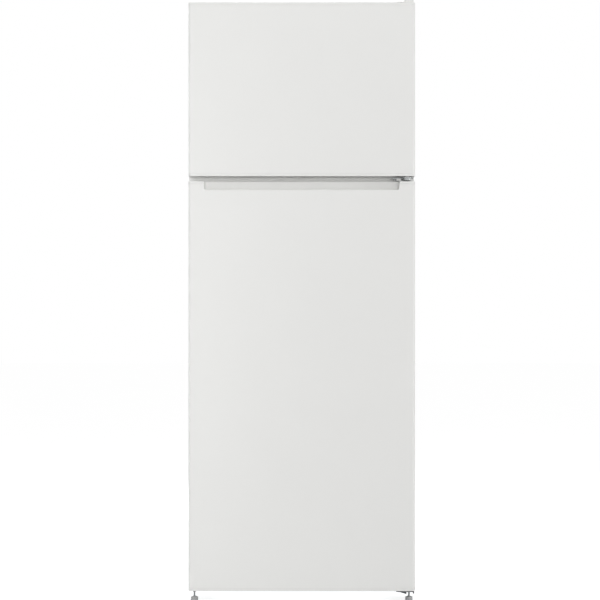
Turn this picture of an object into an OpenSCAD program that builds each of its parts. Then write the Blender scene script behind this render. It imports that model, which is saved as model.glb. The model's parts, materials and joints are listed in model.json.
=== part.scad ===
// Top freezer refrigerator: a short freezer door over a tall fridge door, hinged on the right.
// Millimetres. X runs to the right, Y from the door fronts to the wall, Z up from the floor.
// The origin is on the floor, under the middle of the whole appliance.

/* [Overall] */
// Width of the cabinet and of both doors
body_w = 700; // [580:5:850]
// Depth from the door fronts to the wall spacers
body_d = 700; // [610:5:850]
// Height of the tops of the doors above the floor
door_top_z = 1851; // [1700:1:2225]
// Height of the freezer door
freezer_door_h = 536; // [450:1:640]
// Open gap between the two doors
door_gap = 16; // [14:1:20]
// Step from the tops of the doors up to the cabinet's top
top_step = 2; // [1.5:0.5:4]

/* [Doors] */
// Thickness of a door from its front to its back face
door_t = 60; // [50:1:75]
// Radius of a door's upright front edges
door_edge_r = 8; // [3:0.5:14]
// Height of the plastic end caps at the top and bottom of a door
cap_h = 8; // [5:0.5:14]
// Thickness of the gasket between door and cabinet
gasket_t = 12; // [8:0.5:16]
// Width of the gasket's strip
gasket_w = 16; // [12:1:22]
// Width of the sheet's return at the back of a door
door_return = 14; // [8:1:20]
// Height of the raised rim of a door's inner panel
rim_h = 28; // [18:1:40]
// Width of that raised rim
rim_w = 20; // [14:1:30]

/* [Finger recess] */
// Half of the recess's width at the door's top edge
recess_half_w = 303; // [150:1:307]
// Height of the recess's front opening
recess_h = 26; // [18:1:34]
// Depth of the recess behind the door's front
recess_d = 38; // [28:1:44]
// How far its ends lean inwards over its height
recess_lean = 3; // [0:1:20]
// Thickness of the front lip and of the recess's wall
recess_wall = 4; // [3:0.5:6]

/* [Cabinet walls] */
// Thickness of the outer steel sheet
sheet_t = 0.8; // [0.5:0.1:1.5]
// Thickness of the plastic liners
liner_t = 2; // [1:0.25:3]
// Width of the sheet's front flange
flange_w = 15; // [10:1:25]
// Insulation beside the fridge compartment, with both skins
fridge_wall = 50; // [35:1:65]
// Insulation beside and above the freezer compartment
freezer_wall = 60; // [45:1:80]
// Insulation behind the fridge compartment
fridge_rear_wall = 45; // [35:1:60]
// Insulation behind the freezer compartment
freezer_rear_wall = 60; // [45:1:80]
// Insulation between the two compartments
divider_t = 60; // [50:1:80]
// Insulation under the fridge compartment
floor_wall = 60; // [45:1:80]
// Room for the condenser between the rear panel and the wall
condenser_room = 25; // [20:1:45]

/* [Machine bay] */
// Height of the bay above the base
bay_h = 267; // [250:1:320]
// Depth of the bay from the rear panel
bay_d = 195; // [180:5:230]
// Insulation over and in front of the bay
bay_wall = 40; // [30:1:55]
// Insulated cheek at each side of the bay
bay_cheek = 25; // [18:1:40]
// Radius of the compressor's shell
compressor_r = 72; // [60:1:76]
// Height of the compressor's shell
compressor_h = 160; // [130:1:165]
// Height of the rubber mounts under it
grommet_h = 14; // [10:1:20]
// Outer radius of the pipes
pipe_r = 3; // [2.5:0.25:4.5]

/* [Hinges and feet] */
// Hinge pin radius
pin_r = 4; // [3:0.25:5]
// Hinge axis behind the door's front
hinge_from_front = 25; // [20:1:32]
// Hinge axis in from the door's side
hinge_from_side = 24; // [20:1:32]
// How deep a pin reaches into its door
pin_grip = 20; // [14:1:26]
// Thickness of the hinge plates
plate_t = 3; // [2:0.5:5]
// Height of the cover over the top hinge
hinge_cover_h = 8; // [8:1:20]
// Foot's stud radius
stud_r = 3; // [3:0.5:5]
// Foot's knob radius
knob_r = 11.5; // [9:0.5:16]
// Foot's knob height
knob_h = 13; // [11:1:26]
// Height of the stud between the knob and the plate above it
stud_gap = 17; // [8:1:20]
// Foot's centre behind the door's front
foot_from_front = 45; // [40:1:60]
// Foot's centre in from the side of the cabinet
foot_from_side = 17.3; // [16:0.1:22]
// Rear roller radius
roller_r = 14; // [10:0.5:15]
// Rear roller width
roller_w = 20; // [14:1:28]

/* [Shelves and bins] */
// Thickness of the glass shelves
glass_t = 4; // [3:0.5:6]
// Height from one fridge shelf to the next
shelf_pitch = 215; // [180:5:260]
// Number of fridge shelves above the crisper cover
shelf_count = 3; // [2:1:3]
// Depth of the freezer and fridge door bins
bin_d = 105; // [80:1:120]
// Height of a door bin
bin_h = 82; // [60:1:100]
// Height of the bottle bin
bottle_bin_h = 135; // [110:1:160]
// Wall of the bins and drawers
bin_wall = 2.5; // [1.5:0.25:4]
// Height of the crisper drawers
crisper_h = 215; // [150:5:225]
// Room beside each drawer, which the open door's edge needs
crisper_side = 20; // [18:1:30]
// Height of the ice box
ice_box_h = 56; // [40:1:60]

/* [Controls and fan] */
// Height of the control housing
control_h = 50; // [42:1:60]
// Thermostat dial radius
dial_r = 17; // [12:1:18]
// Door switch button radius
button_r = 5; // [3.5:0.5:6]
// Fan radius
fan_r = 50; // [40:1:55]
// Fan shaft radius
fan_shaft_r = 2; // [1.5:0.25:3]

/* [Clearances] */
// Radial clearance of a pin or shaft in its hole
run_clear = 0.05; // [0.02:0.01:0.1]
// Clearance between parts that slide or swing past each other
slide_clear = 0.3; // [0.2:0.1:0.5]
// Clearance of a lift-out shelf or bin
lift_clear = 1; // [0.5:0.5:2]

/* [Hidden] */
$fn = 48;

eps = 0.01;
cut = 1;

// Colours
white_paint = "#ECECEA";
white_plastic = "#F1F1EE";
clear_plastic = "#DCE6E8";
glass_tint = "#CFE0DC";
foam_yellow = "#E3D3A0";
zinc = "#B9BCBE";
black_paint = "#26282A";
black_plastic = "#3A3B3D";
rubber_black = "#2B2B2B";
gasket_grey = "#D8D8D6";
copper = "#B06A42";
aluminium = "#C8CBCD";
lamp_warm = "#F4EBD2";

// Levels
base_z = knob_h + stud_gap + plate_t;
cab_top_z = door_top_z + top_step;
door_bottom_z = base_z + 1;
freezer_door_z = door_top_z - freezer_door_h;
fridge_door_top_z = freezer_door_z - door_gap;
gap_mid_z = freezer_door_z - door_gap / 2;
base_t = 2;

// Planes from front to back
side_x = body_w / 2;
front_y = -body_d / 2;
door_back_y = front_y + door_t;
face_y = door_back_y + gasket_t;
back_y = body_d / 2 - condenser_room;
foam_back_y = back_y - sheet_t;

// Compartments: the space inside the liners
fridge_x = side_x - fridge_wall;
fridge_z0 = base_z + base_t + floor_wall;
fridge_z1 = gap_mid_z - divider_t / 2 - liner_t;
fridge_rear_y = back_y - fridge_rear_wall;
freezer_x = side_x - freezer_wall;
freezer_z0 = gap_mid_z + divider_t / 2 + liner_t;
freezer_z1 = cab_top_z - freezer_wall;
freezer_rear_y = back_y - freezer_rear_wall;

// Machine bay
bay_top_z = base_z + bay_h;
bay_front_y = back_y - bay_d;
bay_x = side_x - bay_cheek;
step_y = bay_front_y - bay_wall;
step_z = bay_top_z + bay_wall;

// Air passages
cover_t = 3;
evaporator_room = 55;
cover_y = freezer_rear_y - evaporator_room;
duct_x = 60;
duct_room = 45;
duct_y = fridge_rear_y - duct_room;
air_hole_x = 35;
air_hole_y = [freezer_rear_y - 24, freezer_rear_y - 4];
slot_h = 7;

// Fan
fan_z = freezer_z1 - fan_r - 45;
fan_y = cover_y + 12;
fan_w = 18;
fan_motor_y = fan_y + fan_w + 3;

// Hinges
hinge_x = side_x - hinge_from_side;
hinge_y = front_y + hinge_from_front;
bush_wall = 5;
bush_r = pin_r + run_clear + bush_wall;
collar_r = pin_r + run_clear + 1.3;
middle_plate_z = gap_mid_z + 2;
middle_screw_xs = [hinge_x - 9, hinge_x + 6];
middle_screw_z = gap_mid_z - 3;
shoulder_r = 11;
hinge_arm_d = 32;
foot_x = side_x - foot_from_side;
foot_y = front_y + foot_from_front;
foot_nut_h = 1.6;
foot_nut_r = stud_r + 2.6;
foot_tongue = 9;
screw_r = 2.2;
screw_head_r = 4.6;
screw_head_h = 2.4;
backing_t = 5;
top_plate_back = 62;
bottom_plate_back = 92;
bottom_plate_in = 58;

// Rear rollers
roller_y = back_y - 40;
roller_x = side_x - 45;
roller_z = roller_r;
axle_r = 3;

// Shelves
shelf_front_y = door_back_y + bin_d + 20;
shelf_rear_y = duct_y - 5;
cover_shelf_z = step_z + 9;
shelf_ledge = 9;
ledge_h = 7;
shelf_zs = [for (i = [1 : shelf_count]) cover_shelf_z + i * shelf_pitch];
freezer_shelf_z = freezer_z0 + 222;
freezer_shelf_rear_y = cover_y - 6;

// Door bins hang between the side rims
freezer_rim_x = freezer_x - 15;
fridge_rim_x = fridge_x - 15;
freezer_rim_z = [freezer_z0 + 10, freezer_z1 - 10];
fridge_rim_z = [fridge_z0 + 10, fridge_z1 - 10];
freezer_bin_zs = [freezer_rim_z[0] + rim_w + 12, freezer_rim_z[0] + rim_w + 205];
bottle_bin_z = fridge_rim_z[0] + rim_w + 8;
fridge_bin_zs = [for (i = [0 : 2]) bottle_bin_z + 330 + i * 245];

// Egg tray in the top bin
egg_pitch = 47;
egg_cols = 4;
egg_rows = 2;
egg_hole_r = 19;
egg_tray_h = 30;
egg_wall = 2;
egg_margin = 3;
egg_tray_x = -fridge_rim_x + rim_w + bin_wall + 6;
egg_tray_y = door_back_y + bin_wall + 3;
egg_tray_z = fridge_bin_zs[2] + bin_wall;

// Crisper drawers
crisper_rear_y = step_y - 8;
crisper_z = fridge_z0 + 4;
crisper_gap = 6;

// Ice maker
ice_frame_w = 176;
ice_frame_d = 262;
ice_frame_x0 = -freezer_x + 6;
ice_frame_x1 = ice_frame_x0 + ice_frame_w;
ice_mid_x = (ice_frame_x0 + ice_frame_x1) / 2;
ice_front_y = cover_y - 20 - ice_frame_d;
ice_rear_y = cover_y - 20;
ice_frame_wall = 3;
ice_frame_h = freezer_shelf_z - freezer_z0 - 16;
ice_box_z = freezer_z0 + 5;
ice_tray_half_w = 52;
ice_tray_h = 28;
ice_axis_z = freezer_z0 + ice_frame_h - ice_tray_half_w - 18;
ice_pin_r = 4;

// Controls
control_x = [-125, 125];
control_y = [face_y + 48, face_y + 248];
control_z = fridge_z1 - control_h;
control_wall = 2.5;
dial_x = 10;
dial_z = fridge_z1 - control_h / 2 - 2;
dial_shaft_r = 4;
button_x = 92;
button_z = fridge_rim_z[1] - rim_w / 2;
button_tip_y = door_back_y + rim_h + slide_clear;
lamp_x = [-112, -18];

// Drain
drain_x = -150;
drain_r = 8;
drain_bore_r = 6;
drain_y = fridge_rear_y + (back_y - fridge_rear_y) / 2 + 1;
drain_in_y = freezer_rear_y - 12;
drain_turn_z = gap_mid_z;
drain_end_z = bay_top_z - 12;
tray_h = 34;
tray_z = drain_end_z - tray_h + 6;

// Compressor
compressor_x = 60;
compressor_y = back_y - bay_d / 2 + 4;
compressor_foot_t = 3;
compressor_foot_z = base_z + base_t + grommet_h;
compressor_z = compressor_foot_z + compressor_foot_t;
grommet_x = 85;
grommet_y = 52;
stub_r = pipe_r + 1.2;
stub_l = 12;
stub_xs = [-26, 22];
discharge_z = compressor_z + 104;
suction_z = compressor_z + 48;

// Condenser
condenser_x = side_x - 75;
condenser_z0 = bay_top_z + 110;
condenser_z1 = cab_top_z - 200;
condenser_runs = 14;
condenser_tube_r = 2.4;
wire_r = 0.8;
wire_count = 26;
condenser_y = body_d / 2 - condenser_tube_r - 2 * wire_r - 6;
condenser_pitch = (condenser_z1 - condenser_z0) / (condenser_runs - 1);
condenser_bend = 18;

// ---------------------------------------------------------------- helpers

// Box between two opposite corners
module block(lo, hi) translate(lo) cube(hi - lo);

// Upright box with four rounded vertical edges
module round_block(lo, hi, r) translate([0, 0, lo[2]]) linear_extrude(hi[2] - lo[2])
    round_outline([lo[0], lo[1]], [hi[0], hi[1]], r);

// Rectangle between two corners, its corners rounded to r
module round_outline(lo, hi, r) {
    translate([lo[0] + r, lo[1]]) square([hi[0] - lo[0] - 2 * r, hi[1] - lo[1]]);
    translate([lo[0], lo[1] + r]) square([hi[0] - lo[0], hi[1] - lo[1] - 2 * r]);
    for (x = [lo[0] + r, hi[0] - r], y = [lo[1] + r, hi[1] - r]) translate([x, y]) circle(r);
}

// Extrudes an outline drawn in (Y, Z) along X
module along_x(x0, x1) translate([x0, 0, 0]) rotate([90, 0, 90]) linear_extrude(x1 - x0) children();

// Extrudes an outline drawn in (X, Z) along Y
module along_y(y0, y1) translate([0, y1, 0]) rotate([90, 0, 0]) linear_extrude(y1 - y0) children();

// Round bar along Y
module bar_y(r, x, z, y0, y1) translate([x, y0, z]) rotate([-90, 0, 0]) cylinder(r = r, h = y1 - y0);

// Round bar along X
module bar_x(r, y, z, x0, x1) translate([x0, y, z]) rotate([0, 90, 0]) cylinder(r = r, h = x1 - x0);

// Round bar along Z
module bar_z(r, x, y, z0, z1) translate([x, y, z0]) cylinder(r = r, h = z1 - z0);

function unit(v) = v / norm(v);
function turned(d) = [d[1], d[2], d[0]];
function columns(a, b, c, p) = [[a[0], b[0], c[0], p[0]], [a[1], b[1], c[1], p[1]],
    [a[2], b[2], c[2], p[2]], [0, 0, 0, 1]];

// Tube of radius r along a route of square corners, each bent to radius bend
module tube_run(points, bend, r) {
    last = len(points) - 1;
    for (i = [0 : last - 1]) {
        d = unit(points[i + 1] - points[i]);
        from = points[i] + (i == 0 ? 0 : bend) * d;
        to = points[i + 1] - (i == last - 1 ? 0 : bend) * d;
        multmatrix(columns(turned(d), cross(d, turned(d)), d, from))
            cylinder(r = r, h = norm(to - from));
        if (i > 0) {
            before = unit(points[i] - points[i - 1]);
            multmatrix(columns(-d, before, cross(before, d), points[i] - bend * before + bend * d))
                rotate_extrude(angle = 90) translate([bend, 0]) circle(r);
        }
    }
}

// Open box with rounded corners: a drawer, bin or tray
module open_box(lo, hi, r, wall) difference() {
    round_block(lo, hi, r);
    round_block(lo + [wall, wall, wall], [hi[0] - wall, hi[1] - wall, hi[2] + cut], r - wall);
}

// ---------------------------------------------------------------- cabinet

// The two compartments' liners, from outside
module fridge_space(grow, front) difference() {
    block([-fridge_x - grow, front, fridge_z0 - grow], [fridge_x + grow, fridge_rear_y + grow,
        fridge_z1 + grow]);
    block([-fridge_x - grow - cut, step_y + grow, fridge_z0 - grow - cut],
        [fridge_x + grow + cut, fridge_rear_y + grow + cut, step_z - grow]);
}

module freezer_space(grow, front)
    block([-freezer_x - grow, front, freezer_z0 - grow], [freezer_x + grow, freezer_rear_y + grow,
        freezer_z1 + grow]);

// Air passage from the evaporator down to the fridge's duct
module air_passage(grow) block([-air_hole_x - grow, air_hole_y[0] - grow, fridge_z1 - cut],
    [air_hole_x + grow, air_hole_y[1] + grow, freezer_z0 + cut]);

module drain_route(r) tube_run([[drain_x, drain_in_y, freezer_z0 - liner_t],
    [drain_x, drain_in_y, drain_turn_z], [drain_x, drain_y, drain_turn_z],
    [drain_x, drain_y, drain_end_z]], 14, r);

module top_backing(grow) block([hinge_x - 28, face_y + 12, cab_top_z - sheet_t - backing_t - grow],
    [side_x - sheet_t - 2, face_y + top_plate_back + 6, cab_top_z - sheet_t]);

module cabinet_shell() color(white_paint) {
    difference() {
        union() {
            difference() {
                block([-side_x, face_y, base_z], [side_x, back_y, cab_top_z]);
                block([-side_x + sheet_t, face_y - cut, base_z - cut],
                    [side_x - sheet_t, back_y + cut, cab_top_z - sheet_t]);
            }
            for (s = [-1, 1]) block([min(s * side_x, s * (side_x - flange_w)), face_y, base_z],
                [max(s * side_x, s * (side_x - flange_w)), face_y + liner_t, cab_top_z]);
            block([-side_x, face_y, cab_top_z - flange_w], [side_x, face_y + liner_t, cab_top_z]);
        }
        hinge_screw_holes(screw_r);
    }
    difference() {
        top_backing(0);
        hinge_screw_holes(screw_r);
    }
}

module rear_panel() color(zinc)
    block([-side_x + sheet_t, foam_back_y, bay_top_z], [side_x - sheet_t, back_y,
        cab_top_z - sheet_t]);

module bay_lining() color(zinc) difference() {
    block([-bay_x - sheet_t, bay_front_y - sheet_t, base_z + base_t],
        [bay_x + sheet_t, foam_back_y, bay_top_z + sheet_t]);
    block([-bay_x, bay_front_y, base_z + base_t - cut], [bay_x, back_y + cut, bay_top_z]);
    bar_z(drain_r, drain_x, drain_y, bay_top_z - cut, bay_top_z + sheet_t + cut);
}

module cabinet_insulation() color(foam_yellow) difference() {
    block([-side_x + sheet_t, face_y + liner_t, base_z + base_t],
        [side_x - sheet_t, foam_back_y, cab_top_z - sheet_t]);
    fridge_space(liner_t, face_y);
    freezer_space(liner_t, face_y);
    block([-bay_x - sheet_t, bay_front_y - sheet_t, base_z], [bay_x + sheet_t, back_y,
        bay_top_z + sheet_t]);
    air_passage(liner_t);
    drain_route(drain_r);
    top_backing(0);
    rail_backing();
}

module freezer_liner() color(white_plastic) {
    difference() {
        union() {
            freezer_space(liner_t, face_y);
            block([-side_x + flange_w, face_y, freezer_z0 - liner_t],
                [side_x - flange_w, face_y + liner_t, cab_top_z - flange_w]);
        }
        freezer_space(0, face_y - cut);
        air_passage(liner_t);
        bar_z(drain_bore_r, drain_x, drain_in_y, freezer_z0 - liner_t - cut, freezer_z0 + cut);
    }
    shelf_ledges(freezer_x, freezer_shelf_z, shelf_front_y, freezer_shelf_rear_y);
}

// A pair of moulded ledges that a shelf rests on
module shelf_ledges(half_x, z, y0, y1) for (s = [-1, 1])
    block([min(s * half_x, s * (half_x - shelf_ledge)), y0, z - ledge_h],
        [max(s * half_x, s * (half_x - shelf_ledge)), y1, z]);

module fridge_liner() color(white_plastic) {
    difference() {
        union() {
            fridge_space(liner_t, face_y);
            block([-side_x + flange_w, face_y, base_z + base_t],
                [side_x - flange_w, face_y + liner_t, fridge_z1 + liner_t]);
        }
        fridge_space(0, face_y - cut);
        air_passage(liner_t);
    }
    shelf_ledges(fridge_x, cover_shelf_z, shelf_front_y, step_y);
    for (z = shelf_zs) shelf_ledges(fridge_x, z, shelf_front_y, shelf_rear_y);
}

// Steel strips behind the rail that the middle hinge screws into, one at each end
module rail_backing() for (s = [-1, 1])
    block([min(s * (hinge_x - 58), s * (side_x - flange_w)), face_y + liner_t, gap_mid_z - 14],
        [max(s * (hinge_x - 58), s * (side_x - flange_w)), face_y + liner_t + backing_t,
            gap_mid_z + 14]);

module centre_rail() color(white_paint) difference() {
    union() {
        block([-side_x + flange_w, face_y, fridge_z1 + liner_t],
            [side_x - flange_w, face_y + liner_t, freezer_z0 - liner_t]);
        rail_backing();
    }
    for (s = [-1, 1], x = middle_screw_xs) bar_y(screw_r, s * x, middle_screw_z, face_y - cut,
        face_y + liner_t + backing_t + cut);
}

// ---------------------------------------------------------------- base, feet and rollers

module base_frame() color(zinc) {
    difference() {
        block([-side_x + sheet_t, face_y + liner_t, base_z], [side_x - sheet_t, foam_back_y,
            base_z + base_t]);
        base_screw_holes();
        for (x = [-grommet_x, grommet_x], y = [-grommet_y, grommet_y])
            bar_z(screw_r, compressor_x + x, compressor_y + y, base_z - cut, base_z + base_t + cut);
    }
    for (x = [-grommet_x, grommet_x], y = [-grommet_y, grommet_y])
        bar_z(screw_r, compressor_x + x, compressor_y + y, base_z, compressor_z + 4);
    for (s = [-1, 1]) roller_bracket(s);
}

// Two cheeks and an axle that carry a rear roller
module roller_bracket(s) {
    for (t = [-1, 1]) {
        x = s * roller_x + t * (roller_w / 2 + 2.5);
        along_x(x - 1.5, x + 1.5) {
            translate([roller_y - 14, roller_z]) square([28, base_z - roller_z]);
            translate([roller_y, roller_z]) circle(9);
            translate([roller_y - 9, roller_z - 1]) square([18, 12]);
        }
    }
    bar_x(axle_r, roller_y, roller_z, s * roller_x - roller_w / 2 - 5, s * roller_x + roller_w / 2 + 5);
}

module roller(s) color(black_plastic) difference() {
    x = s * roller_x;
    union() {
        bar_x(roller_r, roller_y, roller_z, x - roller_w / 2 + 1, x + roller_w / 2 - 1);
        bar_x(roller_r - 6, roller_y, roller_z, x - roller_w / 2 + slide_clear,
            x + roller_w / 2 - slide_clear);
    }
    bar_x(axle_r + run_clear, roller_y, roller_z, x - roller_w, x + roller_w);
}
module roller_left() roller(-1);
module roller_right() roller(1);

// Levelling foot: a grooved knob on a stud
module foot(s) color(gasket_grey) translate([s * foot_x, foot_y, 0]) {
    rotate_extrude() {
        square([knob_r - 1.5, knob_h]);
        translate([0, 1.5]) square([knob_r, knob_h - 3]);
        translate([knob_r - 1.5, 1.5]) circle(1.5);
        translate([knob_r - 1.5, knob_h - 1.5]) circle(1.5);
    }
    bar_z(stud_r + 2.5, 0, 0, knob_h - eps, knob_h + 2);
    bar_z(stud_r, 0, 0, knob_h, base_z - 0.5);
}
module foot_left() foot(-1);
module foot_right() foot(1);

// ---------------------------------------------------------------- hinges

top_screws = [[hinge_x - 16, 26], [hinge_x + 10, 26], [hinge_x - 3, 50]];
bottom_screws = [[-24, 62], [6, 74], [-40, 30]];

module hinge_screw_holes(r) for (p = top_screws)
    bar_z(r, p[0], face_y + p[1], cab_top_z - sheet_t - backing_t - cut, cab_top_z + plate_t + cut);

module base_screw_holes(z0 = base_z - plate_t - cut, z1 = base_z + base_t + cut)
    for (s = [-1, 1], p = bottom_screws) bar_z(screw_r, s * (hinge_x + p[0]), face_y + p[1], z0, z1);

// Flat plate that reaches forward from the cabinet's top and carries the upper pin
module top_hinge() color(zinc) {
    difference() {
        union() {
            round_block([hinge_x - 24, face_y + 8, cab_top_z], [side_x - 6,
                face_y + top_plate_back, cab_top_z + plate_t], 4);
            round_block([hinge_x - 8, hinge_y - 11, cab_top_z], [hinge_x + 17, face_y + 20,
                cab_top_z + plate_t], 7.5);
        }
        hinge_screw_holes(screw_r);
    }
    bar_z(pin_r, hinge_x, hinge_y, door_top_z - pin_grip, cab_top_z + plate_t + 1.5);
}

module top_hinge_cover() color(white_plastic) {
    top = cab_top_z + hinge_cover_h;
    skirt_z = door_top_z + 0.6;
    difference() {
        union() {
            round_block([hinge_x - 28, face_y + 2, cab_top_z], [side_x - 2,
                face_y + top_plate_back + 5, top], 6);
            difference() {
                round_block([hinge_x - 11, hinge_y - 15, skirt_z], [hinge_x + 20, face_y + 20, top], 11);
                block([hinge_x - 12, face_y - 0.5, skirt_z - cut], [hinge_x + 21, face_y + 21, cab_top_z]);
            }
        }
        round_block([hinge_x - 26, face_y + 4, cab_top_z - cut], [side_x - 4,
            face_y + top_plate_back + 3, top - 2], 4);
        round_block([hinge_x - 9, hinge_y - 13, skirt_z - cut], [hinge_x + 18, face_y + 20,
            top - 2], 9);
    }
}

// Angle in the gap between the doors: a flange on the rail, a plate with a pin up and a pin down
module middle_hinge() color(zinc) difference() {
    plate_top = middle_plate_z + plate_t;
    flange_z = fridge_gasket_z[1] + 1;
    union() {
        round_block([hinge_x - 14, hinge_y - 12, middle_plate_z], [hinge_x + 14, face_y, plate_top], 10);
        block([hinge_x - 47, face_y - hinge_arm_d, middle_plate_z], [side_x - 4, face_y, plate_top]);
        block([hinge_x - 47, face_y - plate_t, flange_z], [side_x - 4, face_y, plate_top]);
        bar_z(pin_r, hinge_x, hinge_y, fridge_door_top_z - pin_grip, freezer_door_z + pin_grip);
        for (x = [hinge_x - 41, hinge_x - 36]) block([x, face_y - hinge_arm_d, middle_plate_z - 8],
            [x + 1.6, face_y - hinge_arm_d + 10, middle_plate_z + eps]);
        middle_shoulder();
    }
    for (x = middle_screw_xs) bar_y(screw_r, x, middle_screw_z, face_y - plate_t - cut, face_y + cut);
}

// Rounded shoulder under the plate that the lower door turns against
module middle_shoulder() {
    h = middle_plate_z - fridge_door_top_z - slide_clear;
    edge = 6;
    translate([hinge_x, hinge_y, middle_plate_z - h]) rotate_extrude() {
        square([shoulder_r - edge, h]);
        translate([0, edge]) square([shoulder_r, h - edge]);
        intersection() {
            translate([shoulder_r - edge, edge]) circle(edge);
            square([shoulder_r, h]);
        }
    }
}

// Plate under the cabinet's front corner, with a tongue that holds the foot in a welded nut
module corner_bracket(s) difference() {
    union() {
        block([min(s * (hinge_x - bottom_plate_in), s * (side_x - 2)), face_y + 4,
            base_z - plate_t], [max(s * (hinge_x - bottom_plate_in), s * (side_x - 2)),
            face_y + bottom_plate_back, base_z]);
        round_block([s * foot_x - foot_tongue, foot_y - foot_tongue, base_z - plate_t],
            [s * foot_x + foot_tongue, face_y + 12, base_z], foot_tongue - 1);
        translate([s * foot_x, foot_y, base_z - plate_t - foot_nut_h])
            cylinder(r = foot_nut_r, h = foot_nut_h + eps, $fn = 6);
    }
    bar_z(stud_r + run_clear, s * foot_x, foot_y, base_z - plate_t - foot_nut_h - cut, base_z + cut);
    base_screw_holes();
}

// Right-hand bracket: it also carries the lower pin, a rib under it and a down-turned edge
module bottom_hinge() color(black_paint) {
    rib_x = hinge_x - 24;
    rib_h = 6;
    corner_bracket(1);
    difference() {
        union() {
            round_block([hinge_x - 34, hinge_y - 14, base_z - plate_t], [side_x - 2, face_y + 12,
                base_z], 9);
            block([side_x - 2 - plate_t, hinge_y - 6, base_z - plate_t - rib_h],
                [side_x - 2, face_y + bottom_plate_back - 20, base_z - plate_t + eps]);
        }
        bar_z(stud_r + run_clear, foot_x, foot_y, base_z - 2 * plate_t, base_z + cut);
        bar_z(foot_nut_r, foot_x, foot_y, base_z - plate_t - rib_h - cut, base_z - plate_t - eps);
        base_screw_holes();
    }
    along_y(hinge_y - 10, hinge_y - 5)
        polygon([[rib_x, base_z - plate_t], [rib_x + 19, base_z - plate_t - rib_h],
            [rib_x + 22, base_z - plate_t - rib_h], [rib_x + 22, base_z - plate_t + eps],
            [rib_x, base_z - plate_t + eps]]);
    bar_z(pin_r, hinge_x, hinge_y, base_z - plate_t, door_bottom_z + pin_grip);
}

module foot_bracket() color(black_paint) corner_bracket(-1);

// Pan-head screws of the three hinges and the foot bracket
module hinge_screws() color(zinc) {
    for (p = top_screws) {
        bar_z(screw_r, p[0], face_y + p[1], cab_top_z - sheet_t - backing_t, cab_top_z + plate_t + eps);
        bar_z(screw_head_r, p[0], face_y + p[1], cab_top_z + plate_t,
            cab_top_z + plate_t + screw_head_h);
    }
    for (x = middle_screw_xs) {
        bar_y(screw_r, x, middle_screw_z, face_y - plate_t - eps, face_y + liner_t + backing_t);
        bar_y(screw_head_r - 0.4, x, middle_screw_z, face_y - plate_t - screw_head_h, face_y - plate_t);
    }
    for (s = [-1, 1], p = bottom_screws) {
        bar_z(screw_r, s * (hinge_x + p[0]), face_y + p[1], base_z - plate_t - eps, base_z + base_t);
        bar_z(screw_head_r, s * (hinge_x + p[0]), face_y + p[1], base_z - plate_t - screw_head_h,
            base_z - plate_t);
    }
}

// Snap-in plugs where the hinges would go on a door hung from the left, and the middle hinge's cap
module hinge_hole_plugs() color(white_plastic) {
    for (x = middle_screw_xs) {
        bar_y(screw_r, -x, middle_screw_z, face_y - eps, face_y + liner_t + backing_t);
        bar_y(screw_head_r - 0.4, -x, middle_screw_z, face_y - 2.5, face_y);
    }
    for (p = top_screws) bar_z(screw_head_r, -p[0], face_y + p[1], cab_top_z, cab_top_z + 1.5);
    block([hinge_x - 32, face_y - hinge_arm_d, middle_plate_z - 7],
        [hinge_x - 18, face_y - hinge_arm_d + 12, middle_plate_z]);
}

// ---------------------------------------------------------------- doors

// A door's outline from above, drawn in by inset
module door_outline(inset) {
    translate([-side_x + door_edge_r, front_y + inset])
        square([body_w - 2 * door_edge_r, door_t - 2 * inset]);
    translate([-side_x + inset, front_y + door_edge_r])
        square([body_w - 2 * inset, door_t - door_edge_r - inset]);
    for (s = [-1, 1]) translate([s * (side_x - door_edge_r), front_y + door_edge_r])
        circle(door_edge_r - inset);
}

module door_solid(inset, z0, z1) translate([0, 0, z0]) linear_extrude(z1 - z0) door_outline(inset);

// Painted sheet around a door's front and sides, with a return at the back
module door_skin(z0, z1) color(white_paint) difference() {
    door_solid(0, z0 + cap_h, z1 - cap_h);
    door_solid(sheet_t, z0, z1);
    block([-side_x + door_return, door_back_y - liner_t, z0], [side_x - door_return,
        door_back_y + cut, z1]);
}

// Raised rim around a door's inner panel, drawn in by inset on every side
module rim_ring(half_x, zs, inset) difference() {
    block([-half_x + inset, door_back_y - liner_t, zs[0] + inset],
        [half_x - inset, door_back_y + rim_h - inset, zs[1] - inset]);
    block([-half_x + rim_w - inset, door_back_y - liner_t - cut, zs[0] + rim_w - inset],
        [half_x - rim_w + inset, door_back_y + rim_h + cut, zs[1] - rim_w + inset]);
}

module door_foam(z0, z1, half_x, zs) color(foam_yellow) difference() {
    union() {
        difference() {
            door_solid(sheet_t, z0 + cap_h, z1 - cap_h);
            block([-side_x + door_return, door_back_y - liner_t, z0], [side_x - door_return,
                door_back_y + cut, z1]);
        }
        rim_ring(half_x, zs, liner_t);
    }
    for (s = [-1, 1]) {
        bar_z(bush_r, s * hinge_x, hinge_y, z0, z0 + pin_grip + 6);
        bar_z(bush_r, s * hinge_x, hinge_y, z1 - pin_grip - 6, z1);
    }
}

module door_liner(z0, z1, half_x, zs) color(white_plastic) difference() {
    union() {
        block([-side_x + door_return, door_back_y - liner_t, z0 + cap_h],
            [side_x - door_return, door_back_y, z1 - cap_h]);
        rim_ring(half_x, zs, 0);
    }
    rim_ring(half_x, zs, liner_t);
}

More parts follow.
